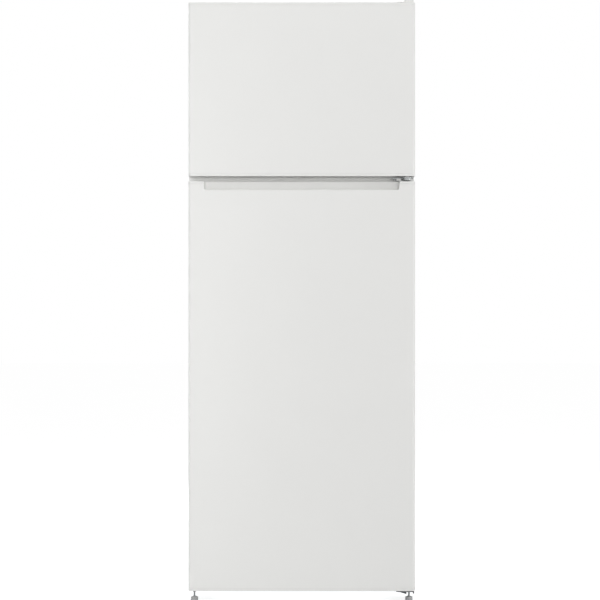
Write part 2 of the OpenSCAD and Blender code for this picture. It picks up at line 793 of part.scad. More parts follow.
// End cap with a bush at each end; the hinge pin runs in the right-hand one
module door_cap(z0, z1, into, collar) difference() {
    union() {
        door_solid(0, z0, z1);
        for (s = [-1, 1]) bar_z(bush_r, s * hinge_x, hinge_y, into > 0 ? z1 - eps : z0 - pin_grip + 2,
            into > 0 ? z1 + pin_grip - 2 : z0 + eps);
        if (collar > 0) bar_z(collar_r, hinge_x, hinge_y, into > 0 ? z0 - collar : z1 - eps,
            into > 0 ? z0 + eps : z1 + collar);
    }
    bar_z(pin_r + run_clear, hinge_x, hinge_y, into > 0 ? z0 - collar - cut : z1 - pin_grip - 2,
        into > 0 ? z0 + pin_grip + 2 : z1 + collar + cut);
}

// Gasket: a flat ring between the door's back and the cabinet's face
module door_gasket(half_x, z0, z1) color(gasket_grey) difference() {
    round_outline_ring(half_x + 4 + gasket_w, z0, z1, 0);
    round_outline_ring(half_x + 4 + gasket_w, z0, z1, gasket_w);
}

module round_outline_ring(half_x, z0, z1, inset)
    along_y(door_back_y - (inset > 0 ? cut : 0), face_y - slide_clear + (inset > 0 ? cut : 0))
        round_outline([-half_x + inset, z0 + inset], [half_x - inset, z1 - inset],
            inset > 0 ? 4 : 8);

freezer_gasket_z = [freezer_z0 - 3 - gasket_w, freezer_z1 + 3 + gasket_w];
fridge_gasket_z = [fridge_z0 - 3 - gasket_w, fridge_z1 + 3 + gasket_w];

module freezer_door_skin() door_skin(freezer_door_z, door_top_z);
module freezer_door_foam() door_foam(freezer_door_z, door_top_z, freezer_rim_x, freezer_rim_z);
module freezer_door_liner() door_liner(freezer_door_z, door_top_z, freezer_rim_x, freezer_rim_z);
module freezer_door_caps() color(white_plastic) {
    door_cap(door_top_z - cap_h, door_top_z, -1, 0);
    door_cap(freezer_door_z, freezer_door_z + cap_h, 1,
        freezer_door_z - middle_plate_z - plate_t - slide_clear);
}
module freezer_door_gasket() door_gasket(freezer_x, freezer_gasket_z[0], freezer_gasket_z[1]);

module fridge_door_skin() difference() {
    door_skin(door_bottom_z, fridge_door_top_z);
    color(white_paint) recess(0);
}
module fridge_door_foam() difference() {
    door_foam(door_bottom_z, fridge_door_top_z, fridge_rim_x, fridge_rim_z);
    recess_box();
}
module fridge_door_liner() door_liner(door_bottom_z, fridge_door_top_z, fridge_rim_x, fridge_rim_z);
module fridge_door_gasket() door_gasket(fridge_x, fridge_gasket_z[0], fridge_gasket_z[1]);

recess_r = (recess_d - recess_wall) / 2;
recess_y = front_y + recess_wall + recess_r;
recess_lip_z = fridge_door_top_z - recess_h;
recess_floor_z = recess_lip_z - recess_r + 2;

// The finger recess: a round channel behind a front lip, its ends leaning inwards
module recess(grow) intersection() {
    along_x(-side_x, side_x) {
        difference() {
            union() {
                translate([recess_y, recess_lip_z + 2]) circle(recess_r);
                translate([recess_y - recess_r, recess_lip_z + 2])
                    square([2 * recess_r, recess_h + cut]);
                translate([front_y - cut, recess_lip_z - recess_wall / 2])
                    square([recess_wall + recess_r, recess_h + recess_wall / 2 + cut]);
            }
            translate([front_y + recess_wall / 2, recess_lip_z - recess_wall / 2])
                circle(recess_wall / 2);
            translate([front_y - cut, recess_lip_z - recess_wall])
                square([recess_wall / 2 + cut, recess_wall / 2]);
        }
    }
    along_y(front_y - cut, front_y + recess_d + cut)
        polygon([for (s = [-1, 1], z = s < 0 ? [fridge_door_top_z + cut, recess_floor_z - cut]
            : [recess_floor_z - cut, fridge_door_top_z + cut])
            [s * (recess_half_w - recess_lean * (fridge_door_top_z - z) / recess_h), z]]);
}

// The block of the grip that holds the recess, inside the sheet
module recess_box() block([-recess_half_w - 4, front_y + sheet_t, recess_floor_z - 3],
    [recess_half_w + 4, front_y + recess_d + 3, fridge_door_top_z]);

module fridge_door_caps() color(white_plastic) {
    difference() {
        union() {
            door_cap(fridge_door_top_z - cap_h, fridge_door_top_z, -1, 0);
            recess_box();
        }
        recess(0);
    }
    door_cap(door_bottom_z, door_bottom_z + cap_h, 1, door_bottom_z - base_z - slide_clear);
}

// ---------------------------------------------------------------- door bins

// Door bin that hangs between the rims
module door_bin(half_x, z, h, depth) {
    y0 = door_back_y;
    y1 = door_back_y + depth;
    open_box([-half_x, y0, z], [half_x, y1, z + h], 14, bin_wall);
    block([-half_x + 14, y1 - bin_wall - 3, z + h - 6], [half_x - 14, y1 - bin_wall + eps, z + h]);
}

module freezer_door_bins() color(clear_plastic) for (z = freezer_bin_zs)
    door_bin(freezer_rim_x - rim_w, z, bin_h, bin_d - 20);

module fridge_door_bins() color(clear_plastic) {
    for (z = fridge_bin_zs) door_bin(fridge_rim_x - rim_w, z, bin_h, bin_d);
    door_bin(fridge_rim_x - rim_w, bottle_bin_z, bottle_bin_h, bin_d + 8);
}

// Tray with two rows of egg cups, resting on a bin's floor
module egg_tray() color(white_plastic) {
    from = [egg_tray_x, egg_tray_y, egg_tray_z];
    to = from + [egg_cols * egg_pitch + 2 * egg_margin, egg_rows * egg_pitch, egg_tray_h];
    wall = [egg_wall, egg_wall, 0];
    difference() {
        round_block(from, to, 8);
        round_block(from + wall - [0, 0, cut], to - wall - [0, 0, egg_wall], 6);
        for (i = [0 : egg_cols - 1], j = [0 : egg_rows - 1])
            bar_z(egg_hole_r, from[0] + egg_margin + (i + 0.5) * egg_pitch,
                from[1] + (j + 0.5) * egg_pitch, to[2] - egg_wall - cut, to[2] + cut);
    }
}

// ---------------------------------------------------------------- shelves, drawers, ice

module shelf_pane(half_x, z, y0, y1) block([-half_x + lift_clear + 1, y0 + 3, z],
    [half_x - lift_clear - 1, y1 - 3, z + glass_t]);

module shelf_glass() color(glass_tint) {
    shelf_pane(fridge_x, cover_shelf_z, shelf_front_y, shelf_rear_y);
    for (z = shelf_zs) shelf_pane(fridge_x, z, shelf_front_y, shelf_rear_y);
    shelf_pane(freezer_x, freezer_shelf_z, shelf_front_y, freezer_shelf_rear_y);
}

// Front strip and raised rear strip that clip onto a pane
module shelf_trim(half_x, z, y0, y1) difference() {
    w = half_x - lift_clear - shelf_ledge - 1;
    union() {
        block([-w, y0 - 3, z - 9], [w, y0 + 10, z + glass_t + 2]);
        block([-w, y1 - 10, z - 5], [w, y1, z + glass_t + 9]);
    }
    shelf_pane(half_x, z, y0, y1);
}

module shelf_trims() color(white_plastic) {
    shelf_trim(fridge_x, cover_shelf_z, shelf_front_y, shelf_rear_y);
    for (z = shelf_zs) shelf_trim(fridge_x, z, shelf_front_y, shelf_rear_y);
    shelf_trim(freezer_x, freezer_shelf_z, shelf_front_y, freezer_shelf_rear_y);
}

// Drawer with a grip lip along its front
module crisper(s) color(clear_plastic) {
    x0 = s > 0 ? crisper_gap / 2 : -fridge_x + crisper_side;
    x1 = s > 0 ? fridge_x - crisper_side : -crisper_gap / 2;
    y0 = shelf_front_y + 6;
    open_box([x0, y0, crisper_z], [x1, crisper_rear_y, crisper_z + crisper_h], 10, bin_wall);
    difference() {
        block([x0 + 30, y0 - 14, crisper_z + crisper_h - 34], [x1 - 30, y0 + eps,
            crisper_z + crisper_h - 8]);
        block([x0 + 33, y0 - 11, crisper_z + crisper_h - 35], [x1 - 33, y0 - eps,
            crisper_z + crisper_h - 11]);
    }
    for (x = [x0 + 12, x1 - 18]) block([x, y0 + 12, fridge_z0 + slide_clear],
        [x + 6, crisper_rear_y - 12, crisper_z + eps]);
}
module crisper_drawer_left() crisper(-1);
module crisper_drawer_right() crisper(1);

// Open frame that the ice tray turns in
module ice_tray_frame() color(white_plastic) difference() {
    top = freezer_z0 + ice_frame_h;
    union() {
        for (x = [ice_frame_x0, ice_frame_x1 - ice_frame_wall])
            block([x, ice_front_y, freezer_z0], [x + ice_frame_wall, ice_rear_y, top]);
        for (y = [ice_front_y, ice_rear_y - ice_frame_wall])
            block([ice_frame_x0, y, ice_axis_z - 14], [ice_frame_x1, y + ice_frame_wall, top]);
        block([ice_frame_x0, ice_front_y, top - ice_frame_wall], [ice_frame_x1, ice_rear_y, top]);
    }
    bar_y(ice_pin_r + run_clear, ice_mid_x, ice_axis_z, ice_front_y - cut, ice_rear_y + cut);
}

// Twist tray: two rows of cells between its end pins, with a knob in front
module ice_tray() color(clear_plastic) {
    y0 = ice_front_y + ice_frame_wall + 4;
    y1 = ice_rear_y - ice_frame_wall - 4;
    x0 = ice_mid_x - ice_tray_half_w;
    x1 = ice_mid_x + ice_tray_half_w;
    cell_w = (2 * ice_tray_half_w - 10) / 2;
    cell_d = (y1 - y0 - 10) / 6;
    difference() {
        round_block([x0, y0, ice_axis_z - ice_tray_h / 2], [x1, y1, ice_axis_z + ice_tray_h / 2], 6);
        for (i = [0 : 1], j = [0 : 5]) round_block([x0 + 5 + i * cell_w + 1.5,
            y0 + 5 + j * cell_d + 1.5, ice_axis_z - ice_tray_h / 2 + 2.5],
            [x0 + 5 + (i + 1) * cell_w - 1.5, y0 + 5 + (j + 1) * cell_d - 1.5,
                ice_axis_z + ice_tray_h], 4);
    }
    bar_y(ice_pin_r, ice_mid_x, ice_axis_z, y1 - eps, ice_rear_y);
    bar_y(ice_pin_r, ice_mid_x, ice_axis_z, ice_front_y - 4, y0 + eps);
    bar_y(15, ice_mid_x, ice_axis_z, ice_front_y - 10, ice_front_y - slide_clear);
    block([ice_mid_x - 3, ice_front_y - 22, ice_axis_z - 14], [ice_mid_x + 3, ice_front_y - 10 + eps,
        ice_axis_z + 14]);
}

module ice_box() color(clear_plastic) {
    open_box([ice_frame_x0 + ice_frame_wall + 2, ice_front_y + 2, ice_box_z],
        [ice_frame_x1 - ice_frame_wall - 2, ice_rear_y - 2, ice_box_z + ice_box_h], 8, bin_wall);
    block([ice_frame_x0 + ice_frame_wall + 40, ice_front_y - 10, ice_box_z + ice_box_h - 10],
        [ice_frame_x1 - ice_frame_wall - 40, ice_front_y + 2 + eps, ice_box_z + ice_box_h - 2]);
    for (x = [ice_frame_x0 + 16, ice_frame_x1 - 22]) block([x, ice_front_y + 12,
        freezer_z0 + slide_clear], [x + 6, ice_rear_y - 12, ice_box_z + eps]);
}

// ---------------------------------------------------------------- cold air

fin_count = 24;
fin_x = 225;
evap_rows = 7;
evap_pitch_z = 27;
evap_tube_r = 4;
evap_z = freezer_z0 + 45;
evap_ys = [freezer_rear_y - 40, freezer_rear_y - 15];

module evaporator() color(aluminium) {
    top = evap_z + (evap_rows - 1) * evap_pitch_z;
    for (y = evap_ys) tube_run([for (i = [0 : evap_rows - 1], k = [0, 1])
        [((i + k) % 2 == 0 ? -1 : 1) * (fin_x + 28), y, evap_z + i * evap_pitch_z]], 10, evap_tube_r);
    for (k = [0 : fin_count - 1]) {
        x = -fin_x + k * 2 * fin_x / (fin_count - 1);
        along_x(x - 0.25, x + 0.25) difference() {
            translate([evap_ys[0] - 10, evap_z - 13])
                square([evap_ys[1] - evap_ys[0] + 20, top - evap_z + 26]);
            for (y = evap_ys, i = [0 : evap_rows - 1]) translate([y, evap_z + i * evap_pitch_z])
                circle(evap_tube_r + run_clear);
        }
    }
    for (s = [-1, 1]) along_x(s * (fin_x + 9) - 0.75, s * (fin_x + 9) + 0.75) difference() {
        translate([evap_ys[0] - 10, evap_z - 13]) square([freezer_rear_y - evap_ys[0] + 10,
            top - evap_z + 26]);
        for (y = evap_ys, i = [0 : evap_rows - 1]) translate([y, evap_z + i * evap_pitch_z])
            circle(evap_tube_r + run_clear);
    }
}

// Heater rod below the fins, held up by two clips on the liner's rear wall
module defrost_heater() color(zinc) {
    y = evap_ys[0] + 12;
    z = evap_z - 22;
    tube_run([[-fin_x - 18, y, z + 12], [-fin_x - 18, y, z], [fin_x + 18, y, z],
        [fin_x + 18, y, z + 12]], 8, 3);
    for (s = [-1, 1]) difference() {
        block([s * 150 - 3, y - 5, z - 5], [s * 150 + 3, freezer_rear_y, z + 5]);
        bar_x(3, y, z, s * 150 - 4, s * 150 + 4);
    }
}

// Panel in front of the evaporator, with a fan grille and rows of slots
module freezer_air_cover() color(white_plastic) {
    difference() {
        block([-freezer_x + lift_clear, cover_y, freezer_z0], [freezer_x - lift_clear,
            cover_y + cover_t, freezer_z1 - lift_clear]);
        bar_y(fan_r + 4, 0, fan_z, cover_y - cut, cover_y + cover_t + cut);
        for (s = [-1, 1], i = [0 : 4]) block([s * 180 - 70, cover_y - cut, fan_z - 34 + i * 16],
            [s * 180 + 70, cover_y + cover_t + cut, fan_z - 34 + i * 16 + slot_h]);
        for (x = [-210 : 60 : 210]) block([x - 22, cover_y - cut, freezer_z0 + 14],
            [x + 22, cover_y + cover_t + cut, freezer_z0 + 14 + slot_h]);
    }
    for (i = [-3 : 3]) block([-fan_r - 5, cover_y, fan_z + i * 13 - 1.2], [fan_r + 5,
        cover_y + cover_t, fan_z + i * 13 + 1.2]);
    for (s = [-1, 1]) block([s * 250 - 6, cover_y + cover_t - eps, fan_z - 6],
        [s * 250 + 6, freezer_rear_y, fan_z + 6]);
}

module fan_motor() color(black_plastic) {
    bar_y(22, 0, fan_z, fan_motor_y, freezer_rear_y);
    bar_y(fan_shaft_r, 0, fan_z, fan_y + 1, fan_motor_y + eps);
    for (a = [0 : 90 : 270]) translate([0, 0, fan_z]) rotate([0, a + 45, 0])
        block([18, freezer_rear_y - 3, -4], [fan_r + 6, freezer_rear_y, 4]);
}

// Fan: a hub with flat pitched blades
module evaporator_fan() color(black_plastic) translate([0, fan_y, fan_z]) difference() {
    union() {
        rotate([-90, 0, 0]) cylinder(r = 13, h = fan_w);
        intersection() {
            for (a = [0 : 60 : 300]) rotate([0, a, 0]) translate([fan_r / 2, fan_w / 2, 0])
                rotate([32, 0, 0]) cube([fan_r, 1.6, 30], center = true);
            rotate([-90, 0, 0]) cylinder(r = fan_r, h = fan_w);
        }
    }
    rotate([-90, 0, 0]) translate([0, 0, -cut]) cylinder(r = fan_shaft_r + run_clear,
        h = fan_w + 2 * cut);
}

// Box on the fridge's rear wall that leads cold air to each shelf
module fridge_air_duct() color(white_plastic) difference() {
    z0 = step_z;
    z1 = fridge_z1;
    block([-duct_x, duct_y, z0], [duct_x, fridge_rear_y, z1]);
    block([-duct_x + cover_t, duct_y + cover_t, z0 + cover_t], [duct_x - cover_t,
        fridge_rear_y + cut, z1 + cut]);
    for (z = concat([cover_shelf_z], shelf_zs), i = [0 : 2], s = [-1, 1])
        block([s * 27 - 20, duct_y - cut, z + 90 + i * 14], [s * 27 + 20, duct_y + cover_t + cut,
            z + 90 + i * 14 + slot_h]);
}

// ---------------------------------------------------------------- controls

module control_housing() color(white_plastic) difference() {
    union() {
        difference() {
            round_block([control_x[0], control_y[0], control_z], [control_x[1], control_y[1],
                fridge_z1], 8);
            round_block([control_x[0] + control_wall, control_y[0] + control_wall,
                control_z + control_wall], [control_x[1] - control_wall,
                control_y[1] - control_wall, fridge_z1 + cut], 5.5);
        }
        block([lamp_x[0] + 20, control_y[1] - 26, control_z + control_wall - eps],
            [lamp_x[0] + 60, control_y[1] - control_wall + eps, fridge_z1 - 4]);
        block([button_x - 9, control_y[0] + control_wall - eps, button_z - 9],
            [button_x + 9, control_y[0] + 30, fridge_z1]);
    }
    block([lamp_x[0], control_y[0] + 30, control_z - cut], [lamp_x[1], control_y[1] - 30,
        control_z + control_wall + cut]);
    bar_y(dial_shaft_r + run_clear, dial_x, dial_z, control_y[0] - cut,
        control_y[0] + control_wall + cut);
    bar_y(button_r + run_clear, button_x, button_z, control_y[0] - cut, control_y[0] + 26);
}

module lamp_bulb() color(lamp_warm) {
    y = control_y[1] - 26;
    z = control_z + 24;
    bar_y(7, lamp_x[0] + 40, z, y - 16, y);
    bar_y(11, lamp_x[0] + 40, z, y - 62, y - 16 + eps);
    translate([lamp_x[0] + 40, y - 62, z]) sphere(11);
}

module lamp_lens() color(clear_plastic) {
    round_block([lamp_x[0] - 4, control_y[0] + 26, control_z - 3], [lamp_x[1] + 4,
        control_y[1] - 26, control_z], 4);
    block([lamp_x[0], control_y[0] + 30, control_z - eps], [lamp_x[1], control_y[1] - 30,
        control_z + control_wall]);
}

module thermostat_dial() color(white_plastic) {
    y = control_y[0] - slide_clear;
    bar_y(dial_r, dial_x, dial_z, y - 5, y);
    bar_y(dial_r - 3, dial_x, dial_z, y - 9, y - 5 + eps);
    block([dial_x - 2.5, y - 15, dial_z - dial_r + 3.5], [dial_x + 2.5, y - 9 + eps,
        dial_z + dial_r - 3.5]);
    bar_y(dial_shaft_r, dial_x, dial_z, y - eps, control_y[0] + control_wall + 12);
}

// Drawn with the door shut, which holds the button pressed in
module door_switch_button() color(gasket_grey) {
    bar_y(button_r, button_x, button_z, button_tip_y + 2, control_y[0] + 24);
    translate([button_x, button_tip_y + 2, button_z]) rotate([90, 0, 0]) rotate_extrude()
        intersection() {
            square([button_r, 2]);
            union() {
                translate([button_r - 2, 0]) circle(2);
                square([button_r - 2, 2]);
            }
        }
}

// ---------------------------------------------------------------- machine bay and back

module compressor() color(black_paint) translate([compressor_x, compressor_y, 0]) {
    edge = 30;
    belly = 14;
    translate([0, 0, compressor_z]) rotate_extrude() {
        square([compressor_r - edge, compressor_h]);
        translate([0, belly]) square([compressor_r, compressor_h - edge - belly]);
        square([compressor_r - belly, compressor_h / 2]);
        translate([compressor_r - belly, belly]) circle(belly);
        intersection() {
            translate([compressor_r - edge, compressor_h - edge]) circle(edge);
            square([compressor_r, compressor_h]);
        }
        translate([0, compressor_h * 0.55]) square([compressor_r + 3, 4]);
    }
    bar_x(stub_r, 0, discharge_z, compressor_r - 6, compressor_r + stub_l);
    for (x = stub_xs) bar_y(stub_r, x, suction_z, compressor_r - 16, compressor_r + stub_l);
    difference() {
        for (x = [-1, 1]) compressor_foot(x);
        for (x = [-grommet_x, grommet_x], y = [-grommet_y, grommet_y])
            bar_z(screw_r + 0.3, x, y, compressor_foot_z - cut, compressor_z + cut);
    }
}

// Pressed steel foot along one side of the compressor
module compressor_foot(s) round_block([min(s * 40, s * (grommet_x + 11)), -grommet_y - 11,
    compressor_foot_z], [max(s * 40, s * (grommet_x + 11)), grommet_y + 11, compressor_z], 8);

module compressor_grommets() color(rubber_black)
    for (x = [-grommet_x, grommet_x], y = [-grommet_y, grommet_y])
        translate([compressor_x + x, compressor_y + y, 0]) difference() {
            union() {
                bar_z(10, 0, 0, base_z + base_t, base_z + base_t + 5);
                bar_z(7.5, 0, 0, base_z + base_t, compressor_foot_z);
                bar_z(10, 0, 0, compressor_foot_z - 5, compressor_foot_z);
            }
            bar_z(screw_r, 0, 0, base_z, compressor_z);
        }

module terminal_box() color(black_plastic) {
    x = compressor_x - compressor_r;
    z = compressor_z + 44;
    difference() {
        round_block([x - 38, compressor_y - 32, z], [x + 20, compressor_y + 32, z + 62], 5);
        bar_z(compressor_r + run_clear, compressor_x, compressor_y, z - cut, z + 63);
        bar_z(compressor_r + 3 + run_clear, compressor_x, compressor_y,
            compressor_z + compressor_h * 0.55 - run_clear,
            compressor_z + compressor_h * 0.55 + 4 + run_clear);
    }
}

inlet_x = compressor_x - compressor_r - 22;

// Sealed bush on the back of the terminal box, where the mains lead would enter
module mains_inlet() color(black_plastic) difference() {
    y = compressor_y + 32;
    z = compressor_z + 60;
    union() {
        bar_y(7, inlet_x, z, y, y + 14);
        bar_y(9, inlet_x, z, y, y + 4);
    }
    bar_y(4, inlet_x, z, y + 2, y + 15);
}

riser_x = bay_x - 16;
drier_x = condenser_x;
drier_z = base_z + 130;
drier_h = 80;
drier_r = 9;
capillary_r = 1.5;
stub_end_y = compressor_y + compressor_r + stub_l;

module refrigerant_pipes() color(copper) {
    // Discharge: from the shell across the bay, then up the back to the condenser's upper end
    tube_run([[compressor_x + compressor_r + stub_l, compressor_y, discharge_z],
        [riser_x, compressor_y, discharge_z], [riser_x, condenser_y, discharge_z],
        [riser_x, condenser_y, condenser_z1], [condenser_x, condenser_y, condenser_z1]],
        14, pipe_r - 0.6);
    // Liquid line: from the condenser's lower end down into the drier
    tube_run([[drier_x, condenser_y, condenser_z0], [drier_x + 20, condenser_y, condenser_z0],
        [drier_x + 20, condenser_y, condenser_z0 - 60], [drier_x, condenser_y, condenser_z0 - 60],
        [drier_x, condenser_y, drier_z + drier_h]], 8, pipe_r - 0.6);
    // Capillary: from the drier's foot to the bay's roof, where it enters the cabinet
    tube_run([[drier_x, condenser_y, drier_z], [drier_x, condenser_y, drier_z - 24],
        [drier_x, bay_front_y + 90, drier_z - 24], [drier_x - 40, bay_front_y + 90, drier_z - 24],
        [drier_x - 40, bay_front_y + 90, bay_top_z]], 6, capillary_r);
    // Suction: from the bay's roof down to the shell
    tube_run([[compressor_x + stub_xs[1], stub_end_y, suction_z],
        [compressor_x + stub_xs[1], stub_end_y + 14, suction_z],
        [compressor_x + stub_xs[1], stub_end_y + 14, bay_top_z - 26],
        [drier_x - 60, stub_end_y + 14, bay_top_z - 26], [drier_x - 60, stub_end_y + 14, bay_top_z]],
        7, pipe_r);
    // Process tube, pinched shut
    tube_run([[compressor_x + stub_xs[0], stub_end_y, suction_z],
        [compressor_x + stub_xs[0], stub_end_y + 10, suction_z]], 8, pipe_r);
}

module filter_drier() color(copper) translate([drier_x, condenser_y, drier_z]) rotate_extrude() {
    square([drier_r - 4, drier_h]);
    translate([0, 4]) square([drier_r, drier_h - 8]);
    for (z = [4, drier_h - 4]) translate([drier_r - 4, z]) circle(4);
}

module condenser() color(black_paint) {
    tube_run([for (i = [0 : condenser_runs - 1], k = [0, 1])
        [((i + k) % 2 == 0 ? 1 : -1) * condenser_x, condenser_y, condenser_z0 + i * condenser_pitch]],
        condenser_bend, condenser_tube_r);
    for (k = [0 : wire_count - 1], s = [-1, 1]) {
        x = (k - (wire_count - 1) / 2) * (2 * condenser_x - 90) / (wire_count - 1);
        translate([x, condenser_y + s * (condenser_tube_r + wire_r + eps), condenser_z0 - 12])
            cylinder(r = wire_r, h = condenser_z1 - condenser_z0 + 24, $fn = 8);
    }
}

// Clips that hold the condenser off the rear panel; their pads meet the wall
module condenser_brackets() color(black_plastic)
    for (s = [-1, 1], i = [1, condenser_runs - 2]) {
        x = s * (condenser_x - 26);
        z = condenser_z0 + i * condenser_pitch;
        difference() {
            union() {
                block([x - 8, back_y, z - 12], [x + 8, condenser_y + condenser_tube_r + 3, z + 12]);
                block([x - 6, condenser_y, z - 9], [x + 6, body_d / 2, z + 9]);
            }
            bar_x(condenser_tube_r + run_clear, condenser_y, z, x - 9, x + 9);
        }
    }

// Tray over the compressor where the defrost water dries off
module drip_tray() color(black_plastic) {
    x0 = drain_x - 70;
    y0 = bay_front_y + 12;
    y1 = back_y - 8;
    open_box([x0, y0, tray_z], [x0 + 200, y1, tray_z + tray_h], 10, 2);
    for (y = [y0 + 30, y1 - 42]) block([-bay_x, y, tray_z], [x0 + eps, y + 12, tray_z + 3]);
}

module drain_tube() color(clear_plastic) difference() {
    drain_route(drain_r);
    drain_bore();
}

module drain_bore() tube_run([[drain_x, drain_in_y, freezer_z0 - liner_t + cut],
    [drain_x, drain_in_y, drain_turn_z], [drain_x, drain_y, drain_turn_z],
    [drain_x, drain_y, drain_end_z - cut]], 14, drain_bore_r);

// ---------------------------------------------------------------- nodes

cabinet_shell();
rear_panel();
bay_lining();
cabinet_insulation();
freezer_liner();
fridge_liner();
centre_rail();
base_frame();
compressor();
terminal_box();
compressor_grommets();
refrigerant_pipes();
filter_drier();
condenser();
condenser_brackets();
drip_tray();
drain_tube();
evaporator();
defrost_heater();
freezer_air_cover();
fan_motor();
evaporator_fan();
fridge_air_duct();
control_housing();
lamp_bulb();
lamp_lens();
thermostat_dial();
door_switch_button();
top_hinge();
top_hinge_cover();
middle_hinge();
bottom_hinge();
foot_bracket();
hinge_screws();
hinge_hole_plugs();
mains_inlet();
shelf_glass();
shelf_trims();
crisper_drawer_left();
crisper_drawer_right();
ice_tray_frame();
ice_tray();
ice_box();
freezer_door_skin();
freezer_door_foam();
freezer_door_liner();
freezer_door_caps();
freezer_door_gasket();
freezer_door_bins();
fridge_door_skin();
fridge_door_foam();
fridge_door_liner();
fridge_door_caps();
fridge_door_gasket();
fridge_door_bins();
egg_tray();
foot_left();
foot_right();
roller_left();
roller_right();
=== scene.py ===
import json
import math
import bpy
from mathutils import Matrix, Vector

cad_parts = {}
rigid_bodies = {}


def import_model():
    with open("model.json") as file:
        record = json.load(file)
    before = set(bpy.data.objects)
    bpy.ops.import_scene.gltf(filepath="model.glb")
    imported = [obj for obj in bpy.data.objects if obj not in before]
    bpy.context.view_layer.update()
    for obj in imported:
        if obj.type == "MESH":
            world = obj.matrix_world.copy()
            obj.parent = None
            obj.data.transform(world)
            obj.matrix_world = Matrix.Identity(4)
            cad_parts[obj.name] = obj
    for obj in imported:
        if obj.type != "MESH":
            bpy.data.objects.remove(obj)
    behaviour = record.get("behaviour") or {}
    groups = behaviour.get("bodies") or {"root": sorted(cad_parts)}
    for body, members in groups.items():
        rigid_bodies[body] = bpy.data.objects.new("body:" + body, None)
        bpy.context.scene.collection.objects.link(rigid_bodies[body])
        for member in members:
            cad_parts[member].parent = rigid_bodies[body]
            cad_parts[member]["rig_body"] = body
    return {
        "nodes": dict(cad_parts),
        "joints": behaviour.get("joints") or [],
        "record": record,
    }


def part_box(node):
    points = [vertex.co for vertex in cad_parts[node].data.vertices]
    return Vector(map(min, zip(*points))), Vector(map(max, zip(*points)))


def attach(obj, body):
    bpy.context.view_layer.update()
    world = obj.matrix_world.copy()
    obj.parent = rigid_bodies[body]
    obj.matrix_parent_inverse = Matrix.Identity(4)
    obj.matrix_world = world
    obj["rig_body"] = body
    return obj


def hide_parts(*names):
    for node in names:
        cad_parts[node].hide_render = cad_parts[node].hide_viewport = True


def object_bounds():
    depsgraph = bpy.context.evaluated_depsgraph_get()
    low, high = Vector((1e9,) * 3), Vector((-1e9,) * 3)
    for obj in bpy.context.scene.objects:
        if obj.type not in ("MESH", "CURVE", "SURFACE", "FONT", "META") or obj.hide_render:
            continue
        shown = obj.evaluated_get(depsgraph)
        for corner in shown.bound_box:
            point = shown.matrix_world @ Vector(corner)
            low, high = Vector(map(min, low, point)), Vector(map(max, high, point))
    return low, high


bl_info = {
    "name": "Top freezer refrigerator",
    "version": (1, 0, 0),
    "blender": (4, 5, 0),
    "location": "View3D > Sidebar > Refrigerator",
    "description": "Finished surfaces, materials and studio for a top freezer refrigerator",
    "category": "Object",
}

from contextlib import contextmanager

import bmesh
import bpy
import numpy as np
from mathutils import Vector

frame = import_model()
CAD_BOX = [list(corner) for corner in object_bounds()]
MM = 0.001
# CAD points nearer than this to a plane lie on it
NEAR = 0.1 * MM
# Gap between a steel sheet and what lies behind it
BEHIND = 0.1 * MM
# Walls of the CAD liners
LINER_SOLID = 2 * MM
DOORS = ("freezer_door", "fridge_door")


# ------------------------------------------------------------------ reading the frame


def span(node):
    """Lowest and highest corner of a CAD node, as two arrays."""
    lo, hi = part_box(node)
    return np.array(lo), np.array(hi)


def corners(node):
    """All corner points of a CAD node as one array, and its triangles as rows of three numbers."""
    mesh = frame["nodes"][node].data
    points = np.empty(len(mesh.vertices) * 3)
    mesh.vertices.foreach_get("co", points)
    triangles = np.empty(len(mesh.polygons) * 3, int)
    mesh.polygons.foreach_get("vertices", triangles)
    return points.reshape(-1, 3), triangles.reshape(-1, 3)


def reach(node, depth):
    """Box of the part of a CAD node that lies further back than a depth."""
    points, _ = corners(node)
    kept = points[points[:, 1] > depth]
    return kept.min(0), kept.max(0)


def solids(node):
    """Boxes of a CAD node's separate solids, lowest first.
    Each point takes the smallest label found in any triangle it shares, until none changes."""
    points, triangles = corners(node)
    kept, same = np.unique(np.round(points, 6), axis=0, return_inverse=True)
    triangles = same.reshape(-1)[triangles]
    label = np.arange(len(kept))
    while True:
        lower = label.copy()
        np.minimum.at(lower, triangles, label[triangles].min(1)[:, None])
        lower = lower[lower]
        if np.array_equal(lower, label):
            break
        label = lower
    boxes = [(kept[label == k].min(0), kept[label == k].max(0)) for k in np.unique(label)]
    return sorted(boxes, key=lambda b: (round(b[0][2], 4), round(b[0][0], 4)))


# ------------------------------------------------------------------ colours and sizes


def linear(code):
    """sRGB hex to linear RGBA: c / 12.92 up to 0.04045, and ((c + 0.055) / 1.055) ^ 2.4 above."""
    c = np.array([int(code[i : i + 2], 16) / 255 for i in (1, 3, 5)])
    c = np.where(c <= 0.04045, c / 12.92, ((c + 0.055) / 1.055) ** 2.4)
    return (*c.tolist(), 1.0)


def colour(name, code, about):
    return bpy.props.FloatVectorProperty(
        name=name, description=about, subtype="COLOR", size=4, min=0, max=1, default=linear(code)
    )


def number(name, default, about, **settings):
    return bpy.props.FloatProperty(name=name, description=about, default=default, **settings)


def length(name, default, about):
    return number(name, default, about, min=0, unit="LENGTH", precision=4)


def power(name, default, about):
    return number(name, default, about, min=0, unit="POWER")


